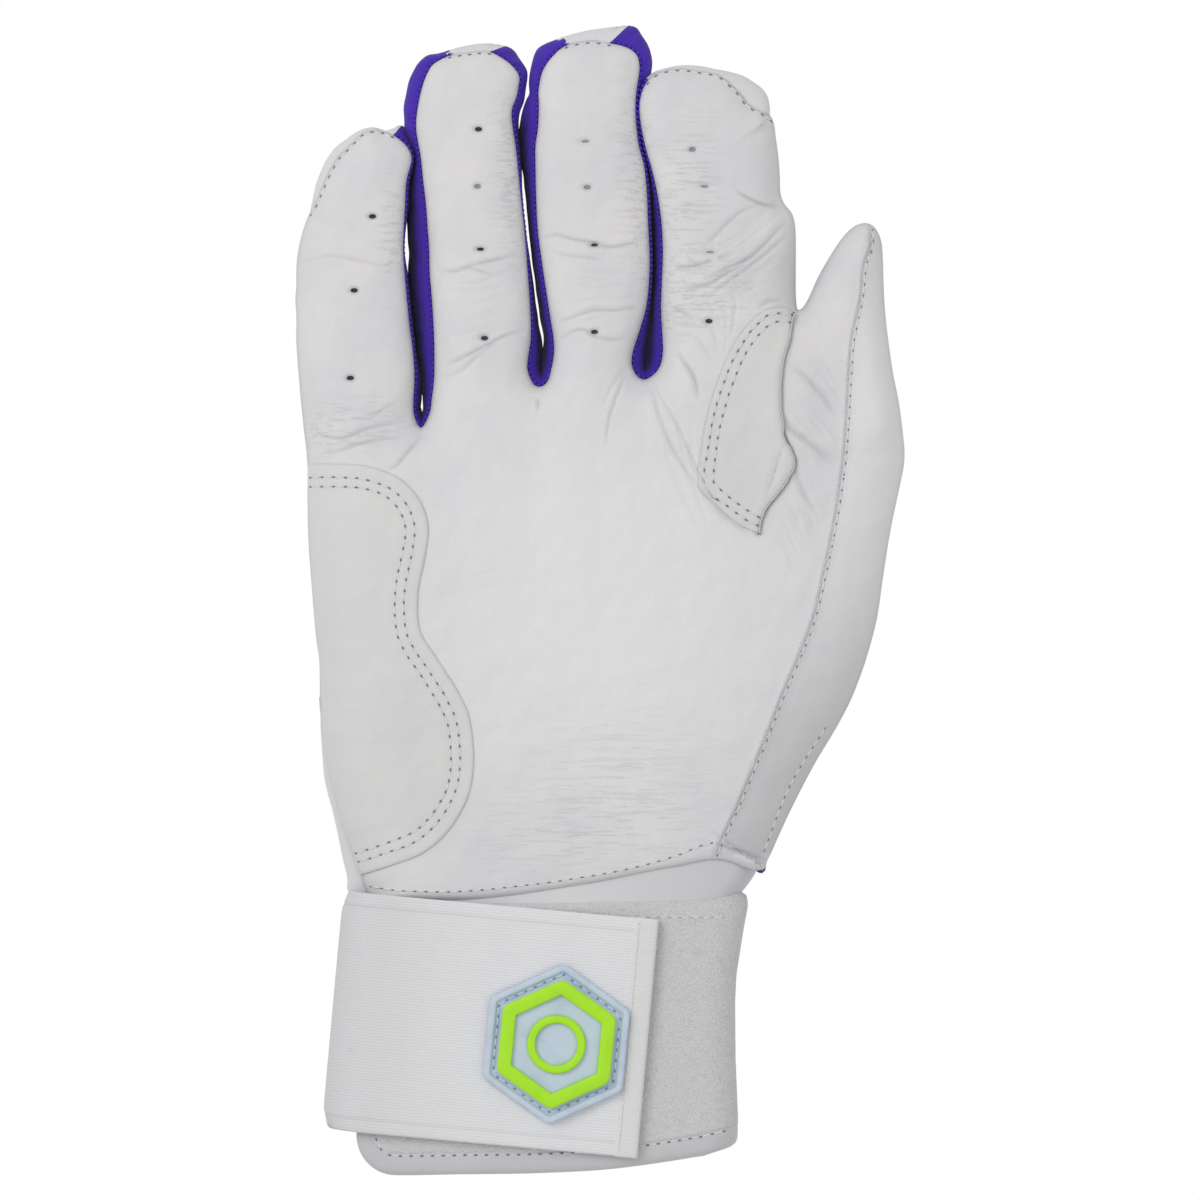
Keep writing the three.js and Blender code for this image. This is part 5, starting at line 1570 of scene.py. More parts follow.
@dataclass
class Hand:
    """The hand's two leather sides and the stretch gussets between them."""

    pitch: float = 0.72
    back_pitch: float = 1.0
    edge_pitch: float = 0.8
    leather: float = 1.0
    gusset: float = 0.7
    perimeter: Perimeter = field(init=False)
    palm: Skin = field(init=False)
    back: Skin = field(init=False)

    def __post_init__(self) -> None:
        """Works out the two sides."""
        self.perimeter = p = Perimeter(PALM_OUTLINE, self.edge_pitch)
        palm, back = p.halves(p.seam, p.height, p.roll), p.halves(p.outer(), p.foot, p.roll * 0.9)
        self.palm = Skin(palm, crown_of(PALM_CROWN, 11.0), PALM_DETAILS, 0.13, PALM_CRIMPS)
        self.back = Skin(back, crown_of(BACK_CROWN, 20.0), self.back_details(), 0.1)

    def back_details(self) -> list[Crease | Swell | Hole]:
        """The seams round the back's inserts and the ribs across them."""
        found: list[Crease | Swell | Hole] = []
        for name, (left, right, low, high) in INSERTS.items():
            loop = self.insert_loop(name)
            found.append(Crease(tuple(map(tuple, np.vstack([loop, loop[:1]]))), 0.4, 0.55, 0.4, True))
            ribs = 3 if name == "hand" else 4
            for y in np.linspace(low, high, ribs + 2)[1:-1]:
                rib = ((left + 1.2, y), ((left + right) / 2, y + 0.15), (right - 1.2, y))
                found.append(Crease(rib, 0.55, 0.32, 0.3))
        return found

    def body_of(self, name: str) -> dict[str, object]:
        """Which body a piece rides on, or the two bodies and the span that it would bend between.

        Args:
            name: the finger, thumb or hand that it belongs to.
        Returns:
            The body or the bend, as show takes them.
        """
        if name in FINGERS:
            return {"bend": ("hand", f"{name}_finger", FINGER_START[name], KNUCKLE[name] + 10)}
        if name == "thumb":
            return {"bend": ("hand", "thumb_tip", THUMB_START, THUMB_END)}
        return {"body": "hand"}

    def part_at(self, xy: Array) -> Array:
        """Divides a side between the hand, the fingers and the thumb.

        Args:
            xy: points of the side.
        Returns:
            Which of PARTS each point belongs to.
        """
        x, y = xy[:, 0], xy[:, 1]
        which = np.zeros(len(xy), int)
        bounds = [np.interp(y, np.array(b)[:, 1], np.array(b)[:, 0]) for b in FINGER_BOUNDS]
        lows, highs = [np.full(len(y), -np.inf), *bounds], [*bounds, np.full(len(y), np.inf)]
        gap, _ = smooth_line(GAP_LINE, 0.8)
        split = np.interp(y, gap[::-1, 1], gap[::-1, 0], left=np.inf, right=42.4)
        for k, name in enumerate(FINGERS):
            which[(x > lows[k]) & (x <= highs[k]) & (y > FINGER_START[name]) & (x < split)] = k + 1
        which[(x >= split) & (y > THUMB_START)] = PARTS.index("thumb")
        return which

    def cuts(self) -> list[Array]:
        """The lines along which a side is divided into its parts."""
        beyond = 70.0
        ends = [-beyond, *(bound[1][0] for bound in FINGER_BOUNDS), 42.6]
        gap, _ = smooth_line(GAP_LINE, 0.7)
        gap = gap[gap[:, 1] > THUMB_START]
        lines = [level_line(low, high + 0.4, FINGER_START[name])
                 for name, low, high in zip(FINGERS, ends, ends[1:])]
        return [*lines, gap, level_line(gap[-1, 0], beyond, THUMB_START)]

    def right_of_seam(self, xy: Array) -> Array:
        """Whether points lie on the thumb's side panel."""
        seam, _ = smooth_line(THUMB_SEAM, 0.8)
        return (xy[:, 1] > seam[-1, 1]) & (xy[:, 0] > np.interp(xy[:, 1], seam[::-1, 1], seam[::-1, 0]))

    def palm_side(self) -> list[tuple[str, Shape]]:
        """The palm side's leather, cut into its panels."""
        holes = [d for d in PALM_DETAILS if isinstance(d, Hole)]
        creases = [d for d in PALM_DETAILS if isinstance(d, Crease)]
        seam, _ = smooth_line(THUMB_SEAM, 0.7)
        flat, tris = mesh_plan(self.perimeter.seam, self.pitch, (0.1, 0.3, 0.6, 1.0, 1.5, 2.1, 2.8),
                               [*self.cuts(), seam], holes, creases)
        z, dark = self.palm.survey(flat)
        points = np.column_stack([flat, z])
        normals, crimp = vertex_normals(points, tris), self.palm.crimped(flat)
        middle = flat[tris].mean(1)
        part, side = self.part_at(middle), self.right_of_seam(middle)
        hand, thumb = part == PARTS.index("hand"), part == PARTS.index("thumb")
        groups = {name: (part == k) & ~(side & (hand | thumb)) for k, name in enumerate(PARTS)}
        groups |= {"thumb_side": hand & side, "thumb_side_tip": thumb & side}
        return [(name, self.panel(points, tris[chosen], normals, dark, crimp))
                for name, chosen in groups.items()]

    def panel(self, points: Array, tris: Array, normals: Array, dark: Array, crimp: Array) -> Shape:
        """One panel of a side, with its thickness.

        Args:
            points: all the points of the side.
            tris: the panel's triangles.
            normals: the side's normals at its points.
            dark: the painted shade at each point.
            crimp: how finely wrinkled each point is.
        Returns:
            The panel's shape.
        """
        used, new = np.unique(tris, return_inverse=True)
        faces = new.reshape(-1, 3)
        shape = Shape()
        shape.sheet(points[used], faces, self.leather, 0, normals[used], dark[used], None, crimp[used])
        return shape

    def build(self) -> None:
        """Makes the palm side with its overlays, the back and the gussets."""
        for part, shape in self.palm_side():
            self.sew_panel(shape, part)
            panel = PANELS[part]
            finishes = finish_of(panel.finish, "thread", "needle_hole", "inside", "faint_hole")
            show(shape.build(panel.name, finishes), "leather", *panel.nodes, **self.body_of(panel.owner))
        self.build_overlay("heel_overlay_leather", "heel_overlay", HEEL_EDGE, HEEL_SIDE, "hand", 0.6,
                           (3.0, 4.95))
        self.build_overlay("crotch_patch_leather", "thumb_crotch_overlay", PATCH_EDGE, PATCH_FREE_EDGE,
                           "index", 0.8, (1.5, 3.3))
        self.build_back()
        self.build_gussets()

    def sew_panel(self, shape: Shape, part: str) -> None:
        """Adds a palm panel's stitches, and the discs of painted shade under its punched holes.

        Args:
            shape: the panel.
            part: its name among PANELS.
        """
        seam, _ = smooth_line(THUMB_SEAM, 0.8)
        seam = seam[distance_to(self.perimeter.seam, seam, closed=True)[0] > 0.9]
        below, above = seam[:, 1] < THUMB_START, seam[:, 1] > THUMB_START + 0.5
        rows = {
            "hand": [(Stitching(2.4, 0.15, 0.2), HEM_ROW)],
            "thumb_side": [(THUMB_STITCH, seam[below] + [0.5, -0.1]), (SIDE_STITCH, SIDE_ROW)],
            "thumb_side_tip": [(THUMB_STITCH, seam[above] + [0.5, 0.0])],
        }.get(part, [(Stitching(), row) for row in self.tip_rows(part)])
        for stitching, row in rows:
            stitching.sew(shape, row, self.palm.place, 1, 2)
        for hole in PALM_DETAILS:
            if isinstance(hole, Hole) and PARTS[self.part_at(np.array([hole.centre]))[0]] == part:
                self.hole_bottom(shape, hole)

    def build_overlay(self, name: str, node: str, edge: Line, rest: Line, owner: str, thickness: float,
                      rows_at: tuple[float, ...]) -> None:
        """Makes a second layer of leather, sewn down with two rows.

        Args:
            name: the piece's name.
            node: the CAD node that it stands for.
            edge: its sewn edge.
            rest: the rest of its outline.
            owner: the part it belongs to.
            thickness: of the layer.
            rows_at: distances of its rows of stitches from the sewn edge.
        """
        sewn, _ = smooth_line(edge, 0.6)
        other, _ = smooth_line(rest, 0.6)
        meets = np.linalg.norm(sewn[-1] - other[0]) < 0.7
        loop = np.vstack([sewn[:-1] if meets else sewn, other])
        flat, tris = mesh_plan(loop, 0.85, (0.1, 0.22, 0.4, 0.7, 1.1, 1.6), [], [])
        gap, _ = distance_to(sewn, flat)
        rounded = np.sqrt(1 - (1 - np.clip(gap / 0.9, 0, 1)) ** 2)
        rows = [self.inner(sewn, loop, d) for d in rows_at]
        trough = sum(bell(distance_to(r, flat)[0], 0.4) for r in rows)
        points, _ = self.palm.place(flat, 0.08 + thickness * rounded - 0.1 * trough)
        # Painted shade: the palm's, a line along the sewn edge, and the troughs of the rows of stitches.
        dark = np.maximum(self.palm.survey(flat)[1] * 0.6, 0.17 * bell(gap, 0.35))
        shape = Shape()
        shape.sheet(points, tris, thickness * 0.8, shade=np.maximum(dark, 0.10 * trough))
        for row in rows:
            stitching = Stitching(2.4, 0.15, 0.25, 0.62)
            stitching.sew(shape, row, lambda xy, up: self.palm.place(xy, up + thickness), 1, 2)
        piece = shape.build(name, finish_of("overlay_leather", "thread", "needle_hole"))
        show(piece, "overlay_leather", node, **self.body_of(owner))

    def inner(self, line: Array, loop: Array, step: float) -> Array:
        """A line drawn inside a loop beside one of its sides.

        Args:
            line: the side.
            loop: the loop.
            step: distance between the two.
        Returns:
            The line, which stays clear of the rest of the loop.
        """
        side = left_of(line)
        row = line + side * step
        if inside(loop, row).mean() < 0.5:
            row = line - side * step
        gap, _ = distance_to(line, row)
        edge, _ = distance_to(loop, row, closed=True)
        row = row[(gap > 0.96 * step) & inside(loop, row) & (edge > 0.4)]
        return smooth_line(np.vstack([row[:-3:6], row[-1:]]), 0.5)[0]

    def hole_bottom(self, shape: Shape, hole: Hole) -> None:
        """Adds a dark disc under a hole: painted shade seen through it.

        Args:
            shape: the panel.
            hole: the punched hole.
        """
        loop = hole.loop(0.5)
        points, _ = self.palm.place(np.vstack([[hole.centre], loop]), -hole.depth)
        fan = np.array([(0, k + 1, (k + 1) % len(loop) + 1) for k in range(len(loop))])
        shape.sheet(points, fan, 0.15, 3 if hole.depth > 0.6 else 4)

    def tip_rows(self, name: str) -> list[Array]:
        """The stitches where a finger's front meets the folded tip of its back.

        Args:
            name: the finger.
        Returns:
            The rows, from above.
        """
        lines = [self.perimeter.seam[samples] for run, edge, samples in self.perimeter.runs()
                 if run == name and edge is Edge.HOOD]
        return [line - left_of(line) * 0.55 for line in lines]

    def insert_loop(self, name: str, out: float = 0.0) -> Array:
        """The rounded outline of one of the back's stretch inserts.

        Args:
            name: the insert's finger, or hand.
            out: how far outside the insert it lies.
        Returns:
            The loop, sampled evenly.
        """
        left, right, low, high = INSERTS[name]
        corner = 1.6
        rows = []
        for x, y, start in ((right, low, -90), (right, high, 0), (left, high, 90), (left, low, 180)):
            a = np.radians(np.linspace(start, start + 90, 6))
            inward = (1 if x == left else -1, 1 if y == low else -1)
            middle = np.array([x, y]) + corner * np.array(inward)
            rows.append(middle + (corner + out) * np.stack([np.cos(a), np.sin(a)], 1))
        loop = np.vstack(rows) if name != "hand" or out else np.array(WRIST_INSERT)
        loop = np.vstack([loop, loop[:1]])
        run = length_along(loop)
        return sampled(np.linspace(0, run[-1], max(8, int(run[-1] / self.edge_pitch)) + 1)[:-1], run, loop)

    def build_back(self) -> None:
        """Makes the back's leather and its stretch inserts."""
        loop = self.perimeter.outer()
        inserts = {name: self.insert_loop(name) for name in INSERTS}
        closed = [np.vstack([insert, insert[:1]]) for insert in inserts.values()]
        steps = (0.15, 0.45, 0.9, 1.5, 2.3)
        flat, tris = mesh_plan(loop, self.back_pitch, steps, [*self.cuts(), *closed], [])
        z, dark = self.back.survey(flat)
        points, plain = np.column_stack([flat, z]), np.zeros(len(flat))
        tris = tris[:, ::-1]
        normals, middle = vertex_normals(points, tris), flat[tris].mean(1)
        part = self.part_at(middle)
        filled = {name: inside(insert, middle) for name, insert in inserts.items()}
        soft = np.any(list(filled.values()), axis=0)
        for k, name in enumerate(PARTS):
            shape = self.panel(points, tris[(part == k) & ~soft], normals, dark, plain)
            if name in WALL_REACH:
                self.add_wall(shape, *WALL_REACH[name])
            self.add_rims(shape, "ulnar" if name == "hand" else name)
            if name in inserts:
                row = self.insert_loop(name, 1.1)
                row = row[inside(loop, row) & (distance_to(loop, row, closed=True)[0] > 1.2)]
                Stitching(2.4, 0.16, 0.24).sew(shape, row, self.back.place, 1, 2)
            label, node = ("back", "back_panel") if name == "hand" else (f"{name}_back", f"{name}_back")
            piece = shape.build(f"{label}_leather", finish_of("back_leather", "thread", "needle_hole"))
            show(piece, "leather", node, **self.body_of(name))
        for name, chosen in filled.items():
            shape = self.panel(points, tris[chosen], normals, dark, plain)
            label = "back_wrist_insert" if name == "hand" else f"{name}_flex_insert"
            piece = shape.build(f"{label}_cloth", finish_of("purple_stretch"))
            show(piece, "stretch_purple", label, **self.body_of(name))

    def add_wall(self, shape: Shape, low: float, high: float) -> None:
        """Adds the wall that shows between the hand and the thumb when the thumb bends.

        Args:
            shape: the piece.
            low: where the wall starts, along Y.
            high: where it ends.
        """
        line, _ = smooth_line(GAP_LINE, 0.8)
        line = line[(line[:, 1] > low) & (line[:, 1] < high)] - [0.8, 0]
        foot, top = self.back.survey(line)[0] + 0.5, self.palm.survey(line)[0] - 0.5
        share = np.linspace(0, 1, 6)
        z = foot[:, None] + (top - foot)[:, None] * share
        points = np.concatenate([np.repeat(line[:, None], len(share), axis=1), z[..., None]], 2)
        shape.sheet(points.reshape(-1, 3), grid_faces(len(line), len(share)), 0.5)

    def add_rims(self, shape: Shape, name: str) -> None:
        """Adds the rims where the back's leather folds over to the palm's.

        Args:
            shape: the piece.
            name: of the rims.
        """
        for run, edge, samples in self.perimeter.runs():
            if run == name and edge is Edge.HOOD:
                self.rim_strip(shape, samples)

    def rim_strip(self, shape: Shape, samples: Array, puckers: float = 0.0) -> None:
        """Adds a rounded strip between the two leathers' edges.

        Args:
            shape: the piece.
            samples: the samples of the outline that it follows.
            puckers: how far its gathers stand out, as a share of its width.
        """
        p = self.perimeter
        seam, out = p.seam[samples], p.rim[samples] - p.seam[samples]
        length = length_along(seam)
        gather = 1 + 0.2 * puckers * ripple(np.stack([length, np.zeros(len(length))], 1), 12, 3.4)
        share = np.linspace(-0.12, 1, 13)
        angle = np.radians(p.turn[samples])[:, None] * np.maximum(share, 0)[None]
        tuck = np.minimum(share, 0)[None] * 4.0
        width = np.linalg.norm(out, axis=1)
        way = unit(out + left_of(seam) * np.clip(1 - width, 0.001, 1)[:, None])
        off = np.sin(angle) * (width * gather)[:, None] + tuck
        top = p.height[samples][:, None] - 0.25
        z = top - (top - GUSSET_FOOT) * (1 - np.cos(angle)) / 2 + tuck * 0.3
        spread = np.stack([length[:, None] + share * 2.0, np.broadcast_to(share * 3.0, z.shape)], -1)
        wave = ripple(spread.reshape(-1, 2), 31, 2.4).reshape(z.shape)
        z = z + puckers * 2.2 * np.sin(angle) * wave
        # Painted shade: the gusset darkens as it turns down into the valley between fingers, less so
        # towards the fingertips.
        dark = np.clip(np.degrees(angle) / 44, 0, 1) ** 1.2 * min(1.0, puckers * 6)
        tips = 108.4 + 0.17 * seam[:, 0]
        dark = dark * (0.15 + 0.85 * np.clip((tips - seam[:, 1]) / 6, 0, 1))[:, None]
        flat = seam[:, None] + way[:, None] * off[..., None]
        points = np.concatenate([flat, z[..., None]], 2).reshape(-1, 3)
        steps = np.diff(points.reshape(len(samples), -1, 3), axis=1)
        lay = np.zeros((len(samples), len(share), 3))
        lay[..., 0], lay[:, 1:, 1] = length[:, None], np.cumsum(np.linalg.norm(steps, axis=2), axis=1)
        faces = grid_faces(len(samples), len(share), flip=True)
        shape.sheet(points, faces, self.gusset, shade=dark.ravel(), lay=lay.reshape(-1, 3))

    def edge_line(self, samples: Array, out: float) -> Array:
        """The seam's line, moved outwards.

        Args:
            samples: the samples of the outline that it follows.
            out: how far it moves.
        Returns:
            The line.
        """
        way = self.perimeter.rim[samples] - self.perimeter.seam[samples]
        width = np.maximum(np.linalg.norm(way, axis=1, keepdims=True), 1e-6)
        return self.perimeter.seam[samples] + np.minimum(out, 0.3 * width) * way / width

    def over_edge(self, xy: Array, lift: float) -> tuple[Array, Array]:
        """Points beside the leather's edge, a little below it."""
        points = np.column_stack([xy, np.full(len(xy), 10.4 + lift)])
        return points, np.tile([0.0, 0.0, 1.0], (len(xy), 1))

    def build_gussets(self) -> None:
        """Makes the stretch gussets between the fingers."""
        pieces: dict[str, Shape] = {}
        p = self.perimeter
        for run, edge, samples in p.runs():
            if edge is not Edge.GUSSET:
                continue
            for owner, part in enumerate(PARTS):
                own = samples[self.part_at(p.seam[samples]) == owner]
                if len(own) < 3:
                    continue
                own = np.append(own, (own[-1] + 1) % len(p.seam))
                if own[0] != samples[0]:
                    own = np.insert(own, 0, (own[0] - 1) % len(p.seam))
                shape = pieces.setdefault(self.gusset_name(run, part), Shape())
                self.rim_strip(shape, own, 0.16)
                seam = self.edge_line(own, 0.3)
                Stitching(1.15, 0.3, 0.1, 0.6, 0.15).sew(shape, seam, self.over_edge, 1, 1)
        for name, shape in pieces.items():
            finger = name.split("_gusset")[0]
            piece = shape.build(f"{name}_cloth", finish_of("purple_stretch", "purple_thread"))
            show(piece, "stretch_purple", name, **self.body_of(finger if finger in FINGERS else "hand"))

    def gusset_name(self, run: str, part: str) -> str:
        """The CAD node of a gusset.

        Args:
            run: the stretch of the outline that it follows.
            part: the finger or hand it is on.
        Returns:
            The node's name.
        """
        if part == "hand":
            return f"web_gusset_{WEB_BESIDE.get(run, run)}"
        left = run.endswith("_left") or run == WEB_BESIDE.get(f"{part}_left")
        return f"{part}_gusset_{'left' if left else 'right'}"


# The cuff, its strap and the badge

def columns(*spans: tuple[float, float, int]) -> Array:
    """Places over some spans in a row, each given with how many there are."""
    return np.unique(np.concatenate([np.linspace(*span) for span in spans]))


@dataclass
class Cuff:
    """The flattened wrist sleeve with its loop panel and bound edge.

    half is half its height and low its underside. left and right give the x of its sides at some y, bottom
    the y of its lower edge at some places round it, and binding the outline of the binding's section.
    """

    half: float = 6.5
    low: float = 1.9
    wall: float = 1.8
    top: float = -50.0
    left: Line = ((-124.0, -52.2), (-98.0, -49.8), (-77.0, -47.8), (-62.0, -46.3), (-48.0, -46.3))
    right: Line = (
        (-124.0, 28.6), (-110.0, 28.5), (-98.0, 28.0), (-86.0, 27.9), (-80.0, 28.2), (-71.0, 29.6),
        (-65.6, 30.6), (-64.3, 30.6), (-62.6, 30.2), (-60.0, 32.3), (-57.0, 34.0), (-50.0, 34.4))
    bottom: Line = (
        (0.0, -121.8), (0.15, -121.9), (0.3, -121.7), (0.5, -121.5), (0.7, -120.8), (0.8, -120.0),
        (0.93, -118.6), (1.0, -117.8), (1.3, -116.4), (1.5, -116.0), (1.75, -116.3), (2.0, -117.3),
        (2.3, -119.2), (2.6, -121.0), (3.0, -121.6))
    corner: float = 8.8
    binding: Line = (
        (4.6, 0.15), (4.5, 0.7), (4.0, 0.9), (2.4, 0.95), (0.9, 0.85), (0.0, 0.45), (-0.55, -0.2),
        (-0.7, -0.9), (-0.55, -1.6), (0.0, -2.25), (0.9, -2.6), (2.4, -2.7), (4.5, -2.6), (4.6, -2.0))

    def at(self, u: Array, y: Array, lift: Array | float = 0.0) -> tuple[Array, Array]:
        """Places on the sleeve.

        Args:
            u: 0 to 1 across the palm side, 1 to 2 round the right side, 2 to 3 back across under it.
            y: along the glove.
            lift: distance off the sleeve.
        Returns:
            The points in space and the normals.
        """
        start, turn = self.sides(y)
        angle = np.pi * np.clip(u - 1, 0, 1)
        share = np.where(u < 1, u, np.where(u > 2, 3 - u, 1.0))
        x = np.where((u >= 1) & (u <= 2), turn, start + share * (turn - start))
        normal = np.stack([np.sin(angle), np.zeros_like(angle), np.cos(angle)], -1)
        centre = np.stack([x, y, np.full_like(x, self.low + self.half)], -1)
        crown = 0.5 * np.sin(np.pi * np.clip(share, 0, 1)) ** 0.5 * np.where((u >= 1) & (u <= 2), 0, 1)
        return centre + normal * (self.half + crown + np.broadcast_to(lift, x.shape))[..., None], normal

    def sides(self, y: Array) -> tuple[Array, Array]:
        """The x of the left side, and that of where the right side starts to turn."""
        left, right = np.array(self.left), np.array(self.right)
        return np.interp(y, *left.T), np.interp(y, *right.T) - self.half

    def edge_y(self, u: Array) -> Array:
        """Where the sleeve's lower edge lies.

        Args:
            u: places round the sleeve.
        Returns:
            The y of the edge at each.
        """
        scale, width = 40.0, 77.0
        line, _ = smooth_line(np.array(self.bottom) * [scale, 1.0], 0.5)
        beside = np.minimum(u, 3 - u) * width
        rest = np.clip(1 - beside / self.corner, 0, 1)
        return np.interp(u, line[:, 0] / scale, line[:, 1]) + self.corner * (1 - np.sqrt(1 - rest**2))

    def spread(self, u: Array, low: Array, high: Array, rows: int,
               lift: Array | float) -> tuple[Array, Array, Array]:
        """A grid over the sleeve.

        Args:
            u: the columns.
            low: y of the lower edge at each column.
            high: y of the upper edge.
            rows: number of rows.
            lift: distance off the sleeve, at each grid point.
        Returns:
            Points, faces, and each point's place on the flat material.
        """
        v = np.linspace(0, 1, rows)[:, None]
        y = low[None] + (high - low)[None] * v
        us = np.broadcast_to(u[None], y.shape)
        points, _ = self.at(us, y, lift)
        run = np.broadcast_to(length_along(points[rows // 2])[None], y.shape)
        lay = np.stack([run, y, np.zeros_like(y)], -1)
        return points.reshape(-1, 3), grid_faces(rows, len(u)), lay.reshape(-1, 3)

    def build(self) -> None:
        """Makes the sleeve, its loop panel and the binding."""
        u = columns((0, 0.12, 24), (0.12, 1, 90), (1, 2, 28), (2, 2.88, 60), (2.88, 3, 24))
        shape = Shape()
        points, faces, lay = self.spread(u, self.edge_y(u), np.full_like(u, self.top), 70, 0.0)
        points[:, 2] += 0.12 * ripple(points[:, :2], 41, 14.0)
        # Painted shade: darker towards the right, above y -67 where the sleeve runs under the hem.
        shade = 0.3 * np.clip((points[:, 0] + 8) / 32, 0, 1) * np.clip((points[:, 1] + 67) / 3, 0, 1)
        shape.sheet(points, faces, self.wall, shade=shade, lay=lay)
        piece = shape.build("cuff_sleeve_leather", finish_of("cuff_leather"))
        show(piece, "cuff_leather", "cuff_sleeve", body="hand")
        self.build_loop_panel()
        self.build_binding()

    def build_loop_panel(self) -> None:
        """Makes the loop panel that the strap closes on."""
        rows, width, height, rounding = 80, 76, 55, 0.25
        u = columns((0.035, 1, 110), (1, 1.72, 26))
        low = self.edge_y(u) + 3.4
        high = np.interp(u, (0, 0.5, 0.9, 1.3, 1.7), (-64.6, -64.6, -64.1, -62.6, -62.4))
        v = np.linspace(0, 1, rows)[:, None]
        side = np.minimum(u - u[0], u[-1] - u)[None] * width / rounding
        end = np.minimum(v, 1 - v) * height / rounding
        rise = 0.15 + 0.85 * np.clip(np.minimum(side, end), 0, 1) ** 0.5
        shape = Shape()
        points, faces, lay = self.spread(u, low, high, rows, rise)
        shape.sheet(points, faces, 0.9, lay=lay)
        row = np.stack([np.interp(np.linspace(0.02, 1, 60), (0, 1), (-20.0, 26.0)), np.full(60, -67.6)], 1)
        Stitching(2.2, 0.16, 0.15).sew(shape, row, self.over, 1, 2)
        piece = shape.build("loop_panel_pile", finish_of("loop_tape", "thread", "tape_hole"))
        show(piece, "loop_pile", "cuff_loop_panel", body="hand")

    def over(self, xy: Array, lift: float, base: float = 1.0) -> tuple[Array, Array]:
        """Points over the sleeve's palm side, from above.

        Args:
            xy: the points.
            lift: distance off the cloth on the sleeve.
            base: thickness of that cloth.
        Returns:
            The points in space and the normals.
        """
        start, turn = self.sides(xy[:, 1])
        over = np.clip((xy[:, 0] - turn) / self.half, 0, 0.999)
        u = np.where(over > 0, 1 + np.arcsin(over) / np.pi, (xy[:, 0] - start) / (turn - start))
        return self.at(u, xy[:, 1], lift + base)

    def build_binding(self) -> None:
        """Makes the binding that wraps the sleeve's lower edge."""
        bend = 0.114 * (1 - np.cos(np.linspace(0, math.pi / 2, 44)))
        straight = columns((0.114, 1, 110), (1, 2, 40), (2, 2.886, 80))
        u = np.unique(np.concatenate([bend, straight, 3 - bend]).round(6))
        points, normal = self.at(u, self.edge_y(u))
        inward = np.cross(normal, unit(np.gradient(points, axis=0)))
        rows = np.array(self.binding)
        loop = points[:, None] + inward[:, None] * rows[None, :, :1] + normal[:, None] * rows[None, :, 1:]
        lay = np.zeros((*loop.shape[:2], 3))
        lay[..., 0], lay[..., 1] = length_along(points)[:, None], np.linspace(0, 12, len(rows))[None]
        shape = Shape()
        shape.sheet(loop.reshape(-1, 3), grid_faces(len(u), len(rows)), 0.5, lay=lay.reshape(-1, 3))
        row = (points + inward * 3.5)[(u > 0.004) & (u < 1.25)][:, :2]
        Stitching(2.3, 0.15, 0.24).sew(shape, row, lambda xy, lift: self.over(xy, lift, 0.92), 1, 2)
        piece = shape.build("cuff_edge_binding", finish_of("binding_leather", "thread", "needle_hole"))
        show(piece, "cuff_leather", "cuff_binding", body="hand")


def flat_lay(along: Array, across: Array) -> Array:
    """The places of a grid's points on the flat material."""
    return np.stack([along, across, np.zeros_like(along)], -1).reshape(-1, 3)


